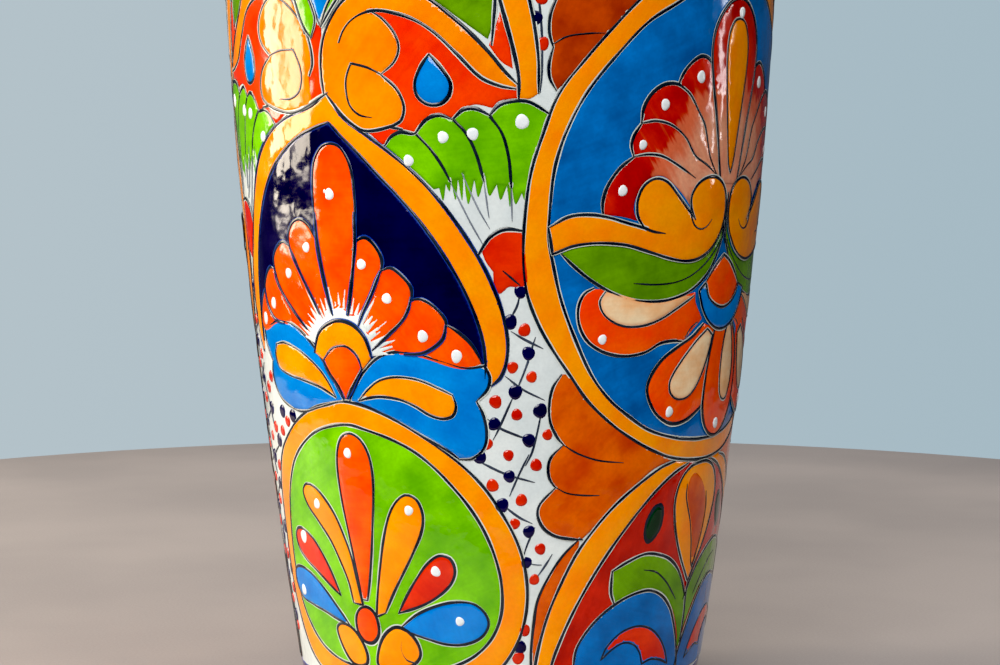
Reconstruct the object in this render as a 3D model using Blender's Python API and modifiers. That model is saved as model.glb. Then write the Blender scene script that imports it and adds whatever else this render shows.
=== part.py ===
"""Talavera pottery vase: luted earthenware sections, glaze coats and raised glaze panels.

The vase stands on the floor with its axis on +Z and its origin under the middle of the foot.
Azimuth 0 is the -Y side, and azimuths grow towards +X.
Lengths below are in millimetres, and MM turns them into Blender's metres.
"""
import math

import bmesh
import bpy

MM = 0.001

# Driving dimensions of the pot
HEIGHT = 380.0
FOOT_RADIUS = 72.45          # surface radius at the floor
FOOT_FLARE = 0.1625          # how fast the body widens at the floor
BODY_CURVE = 0.0001974       # how fast that widening dies out with height
SHOULDER_Z = 285.0           # where the body ends and the shoulder turns in
NECK_BASE = (60.0, 346.5)    # radius and height where the shoulder meets the neck
NECK_TOP_RADIUS = 53.0
RIM_DROP = 13.5              # from the lip down to the top of the neck
WALL = 6.0
COAT = 0.7                   # exterior glaze
LINING = 0.5                 # interior glaze
GAP = 0.3                    # clearance kept between touching pieces

# Foot
FOOT_BAND_TOP = 20.0
FOOT_BAND_BOTTOM = 2.0
FOOT_RING_HEIGHT = 6.0
FOOT_RING_WIDTH = 11.5
FOOT_CHAMFER = 1.5
SLAB_THICKNESS = 7.0

# Rim
COIL_RADIUS = 5.5
RIM_OPEN_ANGLE = math.radians(50.0)   # half of the coil's side that the neck covers

# Raised panels
PANEL_THICKNESS = 0.5
PANEL_INSET = 0.9            # each panel's edge stands back this far from its painted outline
FLAT_RADIUS = 90.0           # azimuths are laid out flat at this radius before wrapping

# Faceting, shared by every turned piece and by the panels that follow its facets
FACETS = 32
FACET_ANGLE = 2.0 * math.pi / FACETS
BODY_LEVELS = (FOOT_BAND_TOP, 75.0, 130.0, 180.0, 230.0, SHOULDER_Z)
BODY_JOIN = 2                # the level at which the two sections of the body meet
SHOULDER_STEPS = 5
SHOULDER_JOIN = 2            # the step at which the two sections of the shoulder meet
NECK_STEPS = 3
RIM_STEPS = 6

# The two kinds of painted column, by the azimuth of their axes in degrees
MEDALLION_COLUMNS = {"front_left": -36.0, "back_right": 145.0}
OVAL_COLUMNS = {"front_right": 55.5, "back_left": -125.5}

# Panel outlines, as (distance sideways from the column's axis, height).
# Those of a half are its right half, which the left half mirrors.
# LEFT_WING is written on the right like the others, and is mirrored when it is placed.
TEARDROP_HALF = [
    (0, 227), (6, 219), (15, 213), (24, 207), (33, 199), (41, 190), (49, 178), (55, 166),
    (59, 155), (60.5, 144), (59, 136), (55, 129), (52, 136), (46, 136), (37, 138.5),
    (29, 140), (21, 140), (14, 138), (8, 133), (0, 122),
]
WING = [
    (2, 121.5), (8, 132), (14, 138), (21, 140), (29, 140), (37, 138.5), (46, 136),
    (52.5, 135), (53, 130), (48.5, 123), (50.5, 116), (50.5, 110), (47, 105), (41, 103.5),
    (29, 111), (21, 115.5), (12, 119.5),
]
LEFT_WING = [
    (2, 121.5), (5, 128), (11.5, 137), (18.7, 143.5), (26.5, 147.2), (35, 148), (42.4, 146.5),
    (49.5, 145), (49, 141), (46.5, 136.5), (43.8, 133.5), (44.8, 129), (43, 124.3), (39.5, 120.8),
    (35, 118.6), (30, 117.4), (25, 117.2), (20, 118), (15, 119.4), (10, 120.8),
]
GREEN_OVAL_RIGHT = [
    (0, 121.5), (12, 119), (22, 114.5), (32, 108.5), (41.5, 101), (48.5, 93.5), (54.5, 84),
    (58.5, 74), (60.3, 64), (60, 54), (57.5, 44), (53.5, 36), (48, 28.5), (38, 23),
    (26, 20.6),
]
GREEN_OVAL_LEFT = [
    (-24, 20.6), (-31, 23.5), (-37.5, 28.5), (-43, 36), (-47.5, 46), (-50, 58), (-50.5, 70),
    (-50, 82), (-48, 92), (-44, 100), (-38.5, 105.5), (-28.5, 113), (-18.5, 118), (-10, 120.5),
]
SCROLL_FIELD = [
    (1, 228), (0, 240), (2, 250), (7, 257), (14, 261), (30, 263), (50, 265), (71, 266),
    (73.5, 252), (75.5, 238), (75, 227), (69, 224.5), (60, 222), (52, 222.5), (47, 220),
    (40, 220), (34, 216.5), (31, 213.5), (24, 211), (18, 211), (10, 217.5),
]
TOP_BUD_HALF = [(0, 284), (7, 281), (12, 275), (13, 269), (8, 263.5), (3, 257), (0, 247)]
BLUE_OVAL_HALF = [
    (0, 277), (20, 274.5), (35, 268), (48, 259), (58.5, 248.5), (68.5, 237), (76.5, 226),
    (81, 212), (83.7, 200), (84.5, 187), (84, 172), (81.5, 160), (77, 150), (71, 141),
    (63.5, 131.5), (56.5, 123), (46.5, 114.5), (36.5, 108.5), (26.5, 104), (16.5, 101),
    (0, 99),
]
RED_MEDALLION_HALF = [
    (0, 99), (17, 99.5), (27, 97.5), (36, 92), (46.5, 82), (53, 75.5), (59.5, 69),
    (63.5, 60), (65.5, 51), (65, 42), (63.5, 30), (61.5, 20.6), (32, 20.6), (0, 20.6),
]
LOWER_SCALLOPS = [
    (67.7, 132.5), (70.7, 122), (69.7, 116), (64.5, 108), (68.2, 99), (65, 93), (69.7, 82),
    (66.7, 78), (61.7, 76), (53, 75.5), (46.5, 82), (36, 92), (27, 98), (25, 103),
    (36.5, 108.5), (46.5, 114.5), (56.5, 123), (63.5, 131.5),
]
UPPER_SCALLOPS = [
    (78.5, 262), (81, 252), (81, 247), (79.5, 242), (80.5, 237), (80.5, 232), (77.5, 226.5),
    (68.5, 237), (58.5, 248.5), (48, 259), (42, 264), (52, 270), (66, 271),
]
# The fan hangs in the gap between two columns. One side of it is laid out from the axis of the
# medallion column, the other from the axis of the oval column.
FAN_BY_MEDALLION = [
    (60, 160), (55.5, 168), (49.5, 179), (41, 191), (33, 200), (24, 210), (31, 213.5), (34, 216.5),
    (40, 220), (47, 220), (52, 222.5), (60, 222), (69, 224.5),
]
FAN_BY_OVAL = [(80.5, 225), (81.5, 213), (84.5, 200), (85.5, 186), (85, 172), (83, 161)]

# The painter's left halves of the medallion columns sit higher and spread wider than the right.
LEFT_LIFT = 10.5
LEFT_LIFT_REACH = 14.0       # sideways distance over which the lift builds up
LEFT_LIFT_BOTTOM = 118.0     # no lift below this height
LEFT_LIFT_TOP = 134.0        # full lift above this height
LEFT_SPREAD = 6.5            # and they spread sideways, most of all halfway out
LEFT_SPREAD_REACH = 54.0


def body_radius(z):
    """Radius of the glazed surface of foot and body at a height."""
    return FOOT_RADIUS + FOOT_FLARE * z - BODY_CURVE * z * z


def body_point(z, inset):
    """Point of the body's profile, moved inwards square to the surface."""
    slope = FOOT_FLARE - 2.0 * BODY_CURVE * z
    length = math.hypot(1.0, slope)
    return body_radius(z) - inset / length, z + inset * slope / length


def bezier_point(controls, t, inset):
    """Point of a cubic profile that runs upwards, moved inwards square to the surface."""
    (r0, z0), (r1, z1), (r2, z2), (r3, z3) = controls
    s = 1.0 - t
    r = s ** 3 * r0 + 3 * s * s * t * r1 + 3 * s * t * t * r2 + t ** 3 * r3
    z = s ** 3 * z0 + 3 * s * s * t * z1 + 3 * s * t * t * z2 + t ** 3 * z3
    dr = s * s * (r1 - r0) + 2 * s * t * (r2 - r1) + t * t * (r3 - r2)
    dz = s * s * (z1 - z0) + 2 * s * t * (z2 - z1) + t * t * (z3 - z2)
    length = math.hypot(dr, dz)
    return r - inset * dz / length, z + inset * dr / length


def curve_speed(controls, t):
    """Length that a cubic runs through per unit of its parameter."""
    (r0, z0), (r1, z1), (r2, z2), (r3, z3) = controls
    s = 1.0 - t
    dr = s * s * (r1 - r0) + 2 * s * t * (r2 - r1) + t * t * (r3 - r2)
    dz = s * s * (z1 - z0) + 2 * s * t * (z2 - z1) + t * t * (z3 - z2)
    return 3.0 * math.hypot(dr, dz)


def offset_profile(stations, inset, gap_at_start):
    """Points of the glazed surface's profile at some stations, moved inwards.

    A station is (curve, parameter): the body by height, or a cubic by its parameter.
    A gap at the start shifts the first station up, to clear the section below.
    """
    points = []
    for index, (curve, value) in enumerate(stations):
        shifted = value
        if index == 0 and gap_at_start:
            shifted = value + (GAP if curve == "body" else GAP / curve_speed(CURVES[curve], value))
        if curve == "body":
            points.append(body_point(shifted, inset))
        else:
            points.append(bezier_point(CURVES[curve], shifted, inset))
    return points


NECK_TOP = HEIGHT - RIM_DROP
SHOULDER_START = body_point(SHOULDER_Z, 0.0)
CURVES = {
    "shoulder": [SHOULDER_START, (104.5, 322.0), (84.0, 342.0), NECK_BASE],
    "neck": [NECK_BASE, (49.0, 348.6), (46.0, NECK_TOP - 9.5), (NECK_TOP_RADIUS, NECK_TOP)],
}
BODY_STATIONS = [("body", z) for z in BODY_LEVELS]
SHOULDER_STATIONS = [("shoulder", i / SHOULDER_STEPS) for i in range(SHOULDER_STEPS + 1)]
NECK_STATIONS = [("neck", i / NECK_STEPS) for i in range(NECK_STEPS + 1)]
ALL_STATIONS = BODY_STATIONS + SHOULDER_STATIONS[1:] + NECK_STATIONS[1:]


def clear_scene():
    for old in list(bpy.data.objects):
        bpy.data.objects.remove(old)


def material(name, colour, roughness):
    """A Principled material; glaze is glossy and bare clay is rough."""
    mat = bpy.data.materials.new(name)
    mat.use_nodes = True
    shader = mat.node_tree.nodes["Principled BSDF"]
    shader.inputs["Base Color"].default_value = (*colour, 1.0)
    shader.inputs["Roughness"].default_value = roughness
    shader.inputs["Metallic"].default_value = 0.0
    mat.diffuse_color = (*colour, 1.0)
    return mat


def add_object(name, mesh, mat, collection):
    part = bpy.data.objects.new(name, mesh)
    mesh.materials.append(mat)
    collection.objects.link(part)
    return part


def turned(name, profile, closed, mat, collection):
    """Turn a profile round +Z. It runs down its outer side, top to bottom."""
    mesh = bpy.data.meshes.new(name)
    edges = [(i, i + 1) for i in range(len(profile) - 1)]
    if closed:
        edges.append((len(profile) - 1, 0))
    mesh.from_pydata([(r * MM, 0.0, z * MM) for r, z in profile], edges, [])
    part = add_object(name, mesh, mat, collection)
    screw = part.modifiers.new("turn", "SCREW")
    screw.steps = FACETS
    screw.render_steps = FACETS
    screw.use_merge_vertices = True
    screw.merge_threshold = 0.00001
    screw.use_smooth_shade = True
    return part


def shell(name, stations, outer_inset, inner_inset, gap_at_start, mat, collection):
    """A turned wall between two offsets of the surface profile."""
    outer = offset_profile(stations, outer_inset, gap_at_start)
    inner = offset_profile(stations, inner_inset, gap_at_start)
    return turned(name, outer[::-1] + inner, True, mat, collection)


def clay_parts(mat, collection):
    """The sections that the potter luted together."""
    outer = COAT + GAP
    inner = outer + WALL
    slab_bottom = FOOT_RING_HEIGHT + GAP
    slab_top = slab_bottom + SLAB_THICKNESS
    slab_radius = body_point(slab_bottom, inner)[0] - GAP

    ring_top = body_point(FOOT_RING_HEIGHT, outer)[0]
    ring_foot = body_point(FOOT_CHAMFER, outer)[0]
    ring_inner = ring_top - FOOT_RING_WIDTH
    turned("foot_ring", [
        (ring_top, FOOT_RING_HEIGHT), (ring_foot, FOOT_CHAMFER),
        (ring_foot - FOOT_CHAMFER, 0.0), (ring_inner + FOOT_CHAMFER, 0.0),
        (ring_inner, FOOT_CHAMFER), (ring_inner, FOOT_RING_HEIGHT),
    ], True, mat, collection)
    turned("base_slab", [
        (0.0, slab_top), (slab_radius, slab_top), (slab_radius, slab_bottom), (0.0, slab_bottom),
    ], False, mat, collection)
    lower_body = [("body", FOOT_RING_HEIGHT)] + BODY_STATIONS[:BODY_JOIN + 1]
    shell("lower_body", lower_body, outer, inner, True, mat, collection)
    shell("upper_body", BODY_STATIONS[BODY_JOIN:], outer, inner, True, mat, collection)
    lower_shoulder = SHOULDER_STATIONS[:SHOULDER_JOIN + 1]
    shell("lower_shoulder", lower_shoulder, outer, inner, True, mat, collection)
    shell("upper_shoulder", SHOULDER_STATIONS[SHOULDER_JOIN:], outer, inner, True, mat, collection)
    shell("neck_collar", NECK_STATIONS, outer, inner, True, mat, collection)
    return slab_top


def rim_centre():
    """Middle of the rim coil, clear of the end of the neck's wall."""
    mid_wall = COAT + GAP + WALL / 2.0
    r, z = bezier_point(CURVES["neck"], 1.0, mid_wall)
    tangent_r = NECK_TOP_RADIUS - CURVES["neck"][2][0]
    tangent_z = NECK_TOP - CURVES["neck"][2][1]
    length = math.hypot(tangent_r, tangent_z)
    reach = GAP + COIL_RADIUS
    up_angle = math.atan2(tangent_z, tangent_r)
    return r + reach * tangent_r / length, z + reach * tangent_z / length, up_angle


def rim_parts(clay, glaze, collection):
    """The rolled lip and the glaze round it, which stays open where the neck comes in."""
    centre_r, centre_z, up_angle = rim_centre()

    def arc(radius, start, end, steps):
        angles = [start + (end - start) * i / steps for i in range(steps + 1)]
        return [(centre_r + radius * math.cos(a), centre_z + radius * math.sin(a)) for a in angles]

    full_turn = 2.0 * math.pi
    coil = arc(COIL_RADIUS, up_angle, up_angle - full_turn, 2 * RIM_STEPS)[:-1]
    turned("rim_coil", coil, True, clay, collection)
    inner_end = up_angle + math.pi - RIM_OPEN_ANGLE
    outer_end = up_angle - math.pi + RIM_OPEN_ANGLE
    over = arc(COIL_RADIUS + GAP + COAT, inner_end, outer_end, 2 * RIM_STEPS)
    under = arc(COIL_RADIUS + GAP, outer_end, inner_end, 2 * RIM_STEPS)
    turned("rim_glaze_band", over + under, True, glaze, collection)


def coat_parts(slab_top, white, blue, lining, collection):
    """Glaze over the clay, outside and in."""
    shell("exterior_glaze", ALL_STATIONS, 0.0, COAT, True, white, collection)
    foot = [("body", FOOT_BAND_BOTTOM), ("body", FOOT_BAND_TOP)]
    shell("foot_glaze_band", foot, 0.0, COAT, False, blue, collection)

    back_inset = COAT + GAP + WALL + GAP
    face_inset = back_inset + LINING
    above_floor = [("body", slab_top + GAP + LINING)] + ALL_STATIONS[1:]
    back = offset_profile(above_floor, back_inset, False)
    face = offset_profile(above_floor, face_inset, False)
    floor_back = (back[0][0], slab_top + GAP)
    cup = [(0.0, slab_top + GAP + LINING)] + face + back[::-1] + [floor_back, (0.0, floor_back[1])]
    turned("interior_glaze", cup, False, lining, collection)


def smooth_step(value, low, high):
    t = min(max((value - low) / (high - low), 0.0), 1.0)
    return t * t * (3.0 - 2.0 * t)


def lifted(x, z):
    """Where a point of a right half lands on the left half of a medallion column."""
    rise = smooth_step(z, LEFT_LIFT_BOTTOM, LEFT_LIFT_TOP)
    reach = 1.0 - math.exp(-abs(x) / LEFT_LIFT_REACH)
    across = min(abs(x) / LEFT_SPREAD_REACH, 1.0)
    spread = LEFT_SPREAD * rise * math.sin(math.pi * across)
    return -x - spread, z + LEFT_LIFT * reach * rise


def inset_outline(points, distance):
    """Move a closed outline inwards, whichever way round it runs."""
    count = len(points)
    area = sum(points[i - 1][0] * points[i][1] - points[i][0] * points[i - 1][1]
               for i in range(count))
    turn = 1.0 if area > 0.0 else -1.0
    result = []
    for i in range(count):
        (ax, az), (bx, bz), (cx, cz) = points[i - 1], points[i], points[(i + 1) % count]
        before = math.hypot(bx - ax, bz - az)
        after = math.hypot(cx - bx, cz - bz)
        n0 = (-(bz - az) / before * turn, (bx - ax) / before * turn)
        n1 = (-(cz - bz) / after * turn, (cx - bx) / after * turn)
        miter = 1.0 + n0[0] * n1[0] + n0[1] * n1[1]
        scale = distance / max(miter, 0.5)
        result.append((bx + (n0[0] + n1[0]) * scale, bz + (n0[1] + n1[1]) * scale))
    return result


def faceted_point(azimuth, z, raised):
    """Point above the faceted glaze coat, at an azimuth in radians and a height."""
    low = max(level for level in BODY_LEVELS[:-1] if level <= z + 1e-6)
    high = BODY_LEVELS[BODY_LEVELS.index(low) + 1]
    share = (z - low) / (high - low)
    radius = body_radius(low) * (1.0 - share) + body_radius(high) * share
    # Facet corners lie on multiples of FACET_ANGLE counted from +X.
    around = azimuth - math.pi / 2.0
    from_middle = (around % FACET_ANGLE) - FACET_ANGLE / 2.0
    flat = math.cos(FACET_ANGLE / 2.0)
    radius = (radius * flat + raised) / math.cos(from_middle)
    return radius * math.cos(around), radius * math.sin(around), z


def panel(name, outline, azimuth_degrees, mat, collection):
    """A thin plate of raised glaze with a flat outline, wrapped on to the pot."""
    outline = inset_outline(outline, PANEL_INSET)
    curve = bpy.data.curves.new(name, "CURVE")
    curve.dimensions = "2D"
    curve.fill_mode = "BOTH"
    curve.extrude = PANEL_THICKNESS / 2.0
    spline = curve.splines.new("POLY")
    spline.points.add(len(outline) - 1)
    for point, (x, z) in zip(spline.points, outline):
        azimuth = math.radians(azimuth_degrees) + x / body_radius(z)
        point.co = (azimuth * FLAT_RADIUS, z, 0.0, 1.0)
    spline.use_cyclic_u = True
    flat = bpy.data.objects.new(name + "_flat", curve)
    collection.objects.link(flat)
    bpy.context.view_layer.update()
    mesh = bpy.data.meshes.new_from_object(flat.evaluated_get(bpy.context.evaluated_depsgraph_get()))
    bpy.data.objects.remove(flat)
    mesh.name = name
    mesh.materials.clear()

    bm = bmesh.new()
    bm.from_mesh(mesh)
    bmesh.ops.remove_doubles(bm, verts=bm.verts, dist=0.01)
    bmesh.ops.dissolve_limit(bm, angle_limit=0.01, verts=bm.verts, edges=bm.edges)
    bmesh.ops.recalc_face_normals(bm, faces=bm.faces)
    facet = FACET_ANGLE * FLAT_RADIUS
    low = min(v.co.x for v in bm.verts)
    high = max(v.co.x for v in bm.verts)
    cuts = [((facet * i, 0, 0), (1, 0, 0)) for i in range(math.ceil(low / facet), int(high // facet) + 1)]
    cuts += [((0, z, 0), (0, 1, 0)) for z in BODY_LEVELS[1:-1]]
    for place, normal in cuts:
        everything = bm.verts[:] + bm.edges[:] + bm.faces[:]
        bmesh.ops.bisect_plane(bm, geom=everything, dist=0.01, plane_co=place, plane_no=normal)
    bmesh.ops.triangulate(bm, faces=bm.faces)
    for vertex in bm.verts:
        raised = GAP + (PANEL_THICKNESS if vertex.co.z > 0.0 else 0.0)
        x, y, z = faceted_point(vertex.co.x / FLAT_RADIUS, vertex.co.y, raised)
        vertex.co = (x * MM, y * MM, z * MM)
    if bm.calc_volume(signed=True) < 0.0:
        bmesh.ops.reverse_faces(bm, faces=bm.faces)
    bm.to_mesh(mesh)
    bm.free()
    return add_object(name, mesh, mat, collection)


def mirrored(points):
    return [(-x, z) for x, z in reversed(points)]


def both_halves(right_half):
    """Close a half outline whose first and last points lie on the axis."""
    return right_half + mirrored(right_half[1:-1])


def medallion_column(prefix, azimuth, paint, collection):
    """Teardrop medallion over a pair of wings and a green oval, with scrolls above."""
    left_half = [lifted(x, z) for x, z in reversed(TEARDROP_HALF[1:-1])]
    panel(prefix + "_teardrop", TEARDROP_HALF + left_half, azimuth, paint["navy"], collection)
    panel(prefix + "_green_oval", GREEN_OVAL_RIGHT + GREEN_OVAL_LEFT, azimuth, paint["green"], collection)
    panel(prefix + "_top_bud", both_halves(TOP_BUD_HALF), azimuth, paint["blue"], collection)
    for side in ("left", "right"):
        wing, scrolls = WING, SCROLL_FIELD
        if side == "left":
            wing = [(-x, z) for x, z in LEFT_WING]
            scrolls = [lifted(x, z) for x, z in SCROLL_FIELD]
        panel(f"{prefix}_{side}_wing", wing, azimuth, paint["blue"], collection)
        panel(f"{prefix}_{side}_scroll_field", scrolls, azimuth, paint["orange"], collection)


def oval_column(prefix, azimuth, paint, collection):
    """Big blue oval over a red medallion, with scallops along both sides."""
    panel(prefix + "_blue_oval", both_halves(BLUE_OVAL_HALF), azimuth, paint["blue"], collection)
    panel(prefix + "_red_medallion", both_halves(RED_MEDALLION_HALF), azimuth, paint["red"], collection)
    for side, outline in (("right", (LOWER_SCALLOPS, UPPER_SCALLOPS)),
                          ("left", (mirrored(LOWER_SCALLOPS), mirrored(UPPER_SCALLOPS)))):
        panel(f"{prefix}_{side}_lower_scallops", outline[0], azimuth, paint["amber"], collection)
        panel(f"{prefix}_{side}_upper_scallops", outline[1], azimuth, paint["amber"], collection)


def gap_fans(paint, collection):
    """One green fan in each gap between a medallion column and an oval column."""
    for prefix, medallion in MEDALLION_COLUMNS.items():
        for oval in OVAL_COLUMNS.values():
            step = math.radians((oval - medallion + 180.0) % 360.0 - 180.0)
            far_side = [(body_radius(z) * abs(step) - x, z) for x, z in FAN_BY_OVAL]
            if step > 0.0:
                side, outline = "right", FAN_BY_MEDALLION + far_side
            else:
                side = "left"
                outline = [lifted(x, z) for x, z in FAN_BY_MEDALLION]
                outline += [(-x, z) for x, z in far_side]
            panel(f"{prefix}_{side}_green_fan", outline, medallion, paint["green"], collection)


def build():
    clear_scene()
    collection = bpy.data.collections.new("talavera_vase")
    bpy.context.scene.collection.children.link(collection)

    clay = material("fired_clay", (0.45, 0.20, 0.11), 0.85)
    white = material("white_glaze", (0.76, 0.79, 0.77), 0.12)
    lining = material("lining_glaze", (0.70, 0.71, 0.66), 0.15)
    cobalt = material("cobalt_glaze", (0.05, 0.05, 0.26), 0.12)
    paint = {
        "navy": material("navy_glaze", (0.01, 0.0, 0.05), 0.12),
        "green": material("green_glaze", (0.16, 0.51, 0.0), 0.12),
        "blue": material("blue_glaze", (0.0, 0.22, 0.75), 0.12),
        "orange": material("orange_glaze", (1.0, 0.10, 0.0), 0.12),
        "red": material("red_glaze", (0.60, 0.02, 0.0), 0.12),
        "amber": material("amber_glaze", (0.62, 0.12, 0.0), 0.12),
    }

    slab_top = clay_parts(clay, collection)
    rim_parts(clay, cobalt, collection)
    coat_parts(slab_top, white, cobalt, lining, collection)
    for prefix, azimuth in MEDALLION_COLUMNS.items():
        medallion_column(prefix, azimuth, paint, collection)
    for prefix, azimuth in OVAL_COLUMNS.items():
        oval_column(prefix, azimuth, paint, collection)
    gap_fans(paint, collection)


build()
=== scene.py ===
"""Looks of the talavera vase: glazed lathe surfaces, hand-painted raised panels and the studio.

The painting is laid out flat, in millimetres. Sideways is the distance round the pot from a
column's axis, and upwards is the station: the height, and above the body the length along the
profile. Every painted area is a patch of mesh that is wrapped on to the pot's surface.
"""
import math
import random

import bpy
import numpy as np
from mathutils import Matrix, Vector
from mathutils.geometry import delaunay_2d_cdt


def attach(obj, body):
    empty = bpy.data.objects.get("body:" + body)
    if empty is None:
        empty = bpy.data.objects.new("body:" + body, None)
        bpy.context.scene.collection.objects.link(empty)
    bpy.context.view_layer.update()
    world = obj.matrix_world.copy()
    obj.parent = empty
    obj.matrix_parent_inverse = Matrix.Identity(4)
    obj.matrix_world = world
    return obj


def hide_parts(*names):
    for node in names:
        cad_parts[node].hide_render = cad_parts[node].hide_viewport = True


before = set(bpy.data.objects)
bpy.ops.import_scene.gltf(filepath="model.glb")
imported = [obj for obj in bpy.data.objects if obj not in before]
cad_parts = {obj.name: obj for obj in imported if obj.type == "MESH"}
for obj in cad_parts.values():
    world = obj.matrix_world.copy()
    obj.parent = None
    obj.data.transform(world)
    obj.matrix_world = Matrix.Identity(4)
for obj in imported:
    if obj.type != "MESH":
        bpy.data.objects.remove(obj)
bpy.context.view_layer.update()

MM = 0.001

# Profile of the glazed surface, as in the CAD model
FOOT_RADIUS = 72.45
FOOT_FLARE = 0.1625
BODY_CURVE = 0.0001974
SHOULDER_Z = 285.0
SHOULDER_CONTROLS = [(104.5, 322.0), (84.0, 342.0)]
NECK_BASE = (60.0, 346.5)
NECK_CONTROLS = [(49.0, 348.6), (46.0, 357.0)]
NECK_TOP = (53.0, 366.5)
COAT = 0.7
WALL = 6.0
LINING = 0.5
FOOT_BAND_TOP = 20.0
RIM_CENTRE = (53.2, 373.5)
RIM_RADIUS = 6.5

# Column axes in degrees; azimuth 0 is the -Y side and azimuths grow towards +X
MEDALLION_COLUMNS = {"front_left": -36.0, "back_right": 145.0}
OVAL_COLUMNS = {"front_right": 55.5, "back_left": -125.5}

# The painter's left halves of the medallion columns sit higher and spread wider than the right
LEFT_LIFT = 10.5
LEFT_LIFT_REACH = 14.0
LEFT_LIFT_BOTTOM = 118.0
LEFT_LIFT_TOP = 134.0
LEFT_SPREAD = 6.5
LEFT_SPREAD_REACH = 54.0

# Relief of the glaze: each level of paint lies a step above the one below, and a patch swells
# by its puddle within a short reach of its edge
LEVEL_STEP = 0.15
LEVEL_BASE = 0.08
PUDDLE = 0.16
FULL_PUDDLE = 0.22
PUDDLE_REACH = 1.1
EDGE_LIMIT = 8.0

# Sampling of a patch: along its outline, in two rows inside it, and over a grid of points that
# keep some room from the outline
LINE_STEP = 1.2
SHORTEST_STEP = 0.05
NEAR_ROW, NEAR_ROOM = 0.4, 0.36
FAR_ROW, FAR_ROOM = 1.2, 1.1
GRID_STEP, GRID_ROOM = 2.4, 2.0
FINE_GRID = 1.3
ROW_HEIGHT = 0.87

# Section of a brush line, from side to side, and how soon its ends thin out
LINE_SECTION = np.array([-1.0, -0.6, 0.0, 0.6, 1.0])
LINE_RISES = np.array([-0.12, 0.10, 0.15, 0.10, -0.12])
TAPER_POINTS = 3.5
HALO = 0.2
HALO_DROP = 0.02

DOT_SIDES = 16
DOT_RINGS = (1.0, 0.86, 0.55)

# Widths of the brush lines
HEAVY_LINE = 1.6
FRAME_LINE = 1.25
FINE_LINE = 0.95
LATTICE_LINE = 0.85
GREY_LINE = 0.55

C = "corner"


# ---------------------------------------------------------------- surface

def cubic(controls, steps):
    """Points of a cubic curve from its four control points."""
    a, b, c, d = [np.array(p, float) for p in controls]
    t = np.linspace(0.0, 1.0, steps)[:, None]
    s = 1.0 - t
    return s ** 3 * a + 3 * s * s * t * b + 3 * s * t * t * c + t ** 3 * d


def body_radius(z):
    """Radius of the glazed body at a height."""
    return FOOT_RADIUS + FOOT_FLARE * z - BODY_CURVE * z * z


def make_profile():
    """Stations, radii and heights along the glazed surface, from the floor to the neck's top."""
    z = np.linspace(0.0, SHOULDER_Z, 286)
    body = np.stack([body_radius(z), z], 1)
    shoulder = cubic([body[-1]] + SHOULDER_CONTROLS + [NECK_BASE], 90)
    neck = cubic([NECK_BASE] + NECK_CONTROLS + [NECK_TOP], 50)
    upper = np.concatenate([shoulder[1:], neck[1:]])
    steps = np.linalg.norm(np.diff(np.concatenate([body[-1:], upper]), axis=0), axis=1)
    stations = np.concatenate([z, SHOULDER_Z + np.cumsum(steps)])
    points = np.concatenate([body, upper])
    tangent = np.gradient(points, stations, axis=0)
    tangent /= np.linalg.norm(tangent, axis=1)[:, None]
    return stations, points, np.stack([tangent[:, 1], -tangent[:, 0]], 1)


STATIONS, PROFILE, NORMALS = make_profile()
NECK_STATION = float(np.interp(NECK_BASE[1], PROFILE[:, 1], STATIONS))
TOP_STATION = float(STATIONS[-1])


def along_profile(s, values):
    return np.interp(s, STATIONS, values)


def station_radius(s):
    return along_profile(s, PROFILE[:, 0])


def hand_wobble(azimuth, s):
    """The slight unevenness of a hand-thrown surface, in millimetres."""
    return (0.16 * np.sin(2 * azimuth + 0.7 + s / 90.0) + 0.09 * np.sin(5 * azimuth - s / 37.0)
            + 0.05 * np.sin(s / 6.1 + 0.8 * np.sin(azimuth)))


def round_axis(azimuth, r, z):
    """World points, in metres, at azimuths, radii and heights."""
    return np.stack([r * np.sin(azimuth), -r * np.cos(azimuth), z + 0.0 * azimuth], 1) * MM


def on_pot(azimuth, s, height):
    """World points, in metres, at azimuths, stations and heights above the glazed surface."""
    height = height + hand_wobble(azimuth, s)
    r = station_radius(s) + height * along_profile(s, NORMALS[:, 0])
    z = along_profile(s, PROFILE[:, 1]) + height * along_profile(s, NORMALS[:, 1])
    return round_axis(azimuth, r, z)


# ---------------------------------------------------------------- flat drawing

def spline_part(points, closed):
    """Catmull-Rom curve through points, sampled about every LINE_STEP."""
    points = [np.array(p, float) for p in points]
    count = len(points)
    if count == 2 and not closed:
        steps = max(2, int(np.linalg.norm(points[1] - points[0]) / LINE_STEP) + 1)
        return [points[0] + (points[1] - points[0]) * i / steps for i in range(steps + 1)]
    result = []
    for i in range(count if closed else count - 1):
        p1, p2 = points[i], points[(i + 1) % count]
        p0 = points[i - 1] if closed or i > 0 else 2 * p1 - p2
        p3 = points[(i + 2) % count] if closed or i + 2 < count else 2 * p2 - p1
        gap = np.linalg.norm(p2 - p1)
        m1 = (p2 - p0) * gap / (np.linalg.norm(p1 - p0) + gap)
        m2 = (p3 - p1) * gap / (np.linalg.norm(p3 - p2) + gap)
        steps = max(2, int(gap / LINE_STEP + 0.5))
        for j in range(steps):
            t = j / steps
            result.append((2 * t ** 3 - 3 * t * t + 1) * p1 + (t ** 3 - 2 * t * t + t) * m1
                          + (3 * t * t - 2 * t ** 3) * p2 + (t ** 3 - t * t) * m2)
    if not closed:
        result.append(points[-1])
    return result


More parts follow.
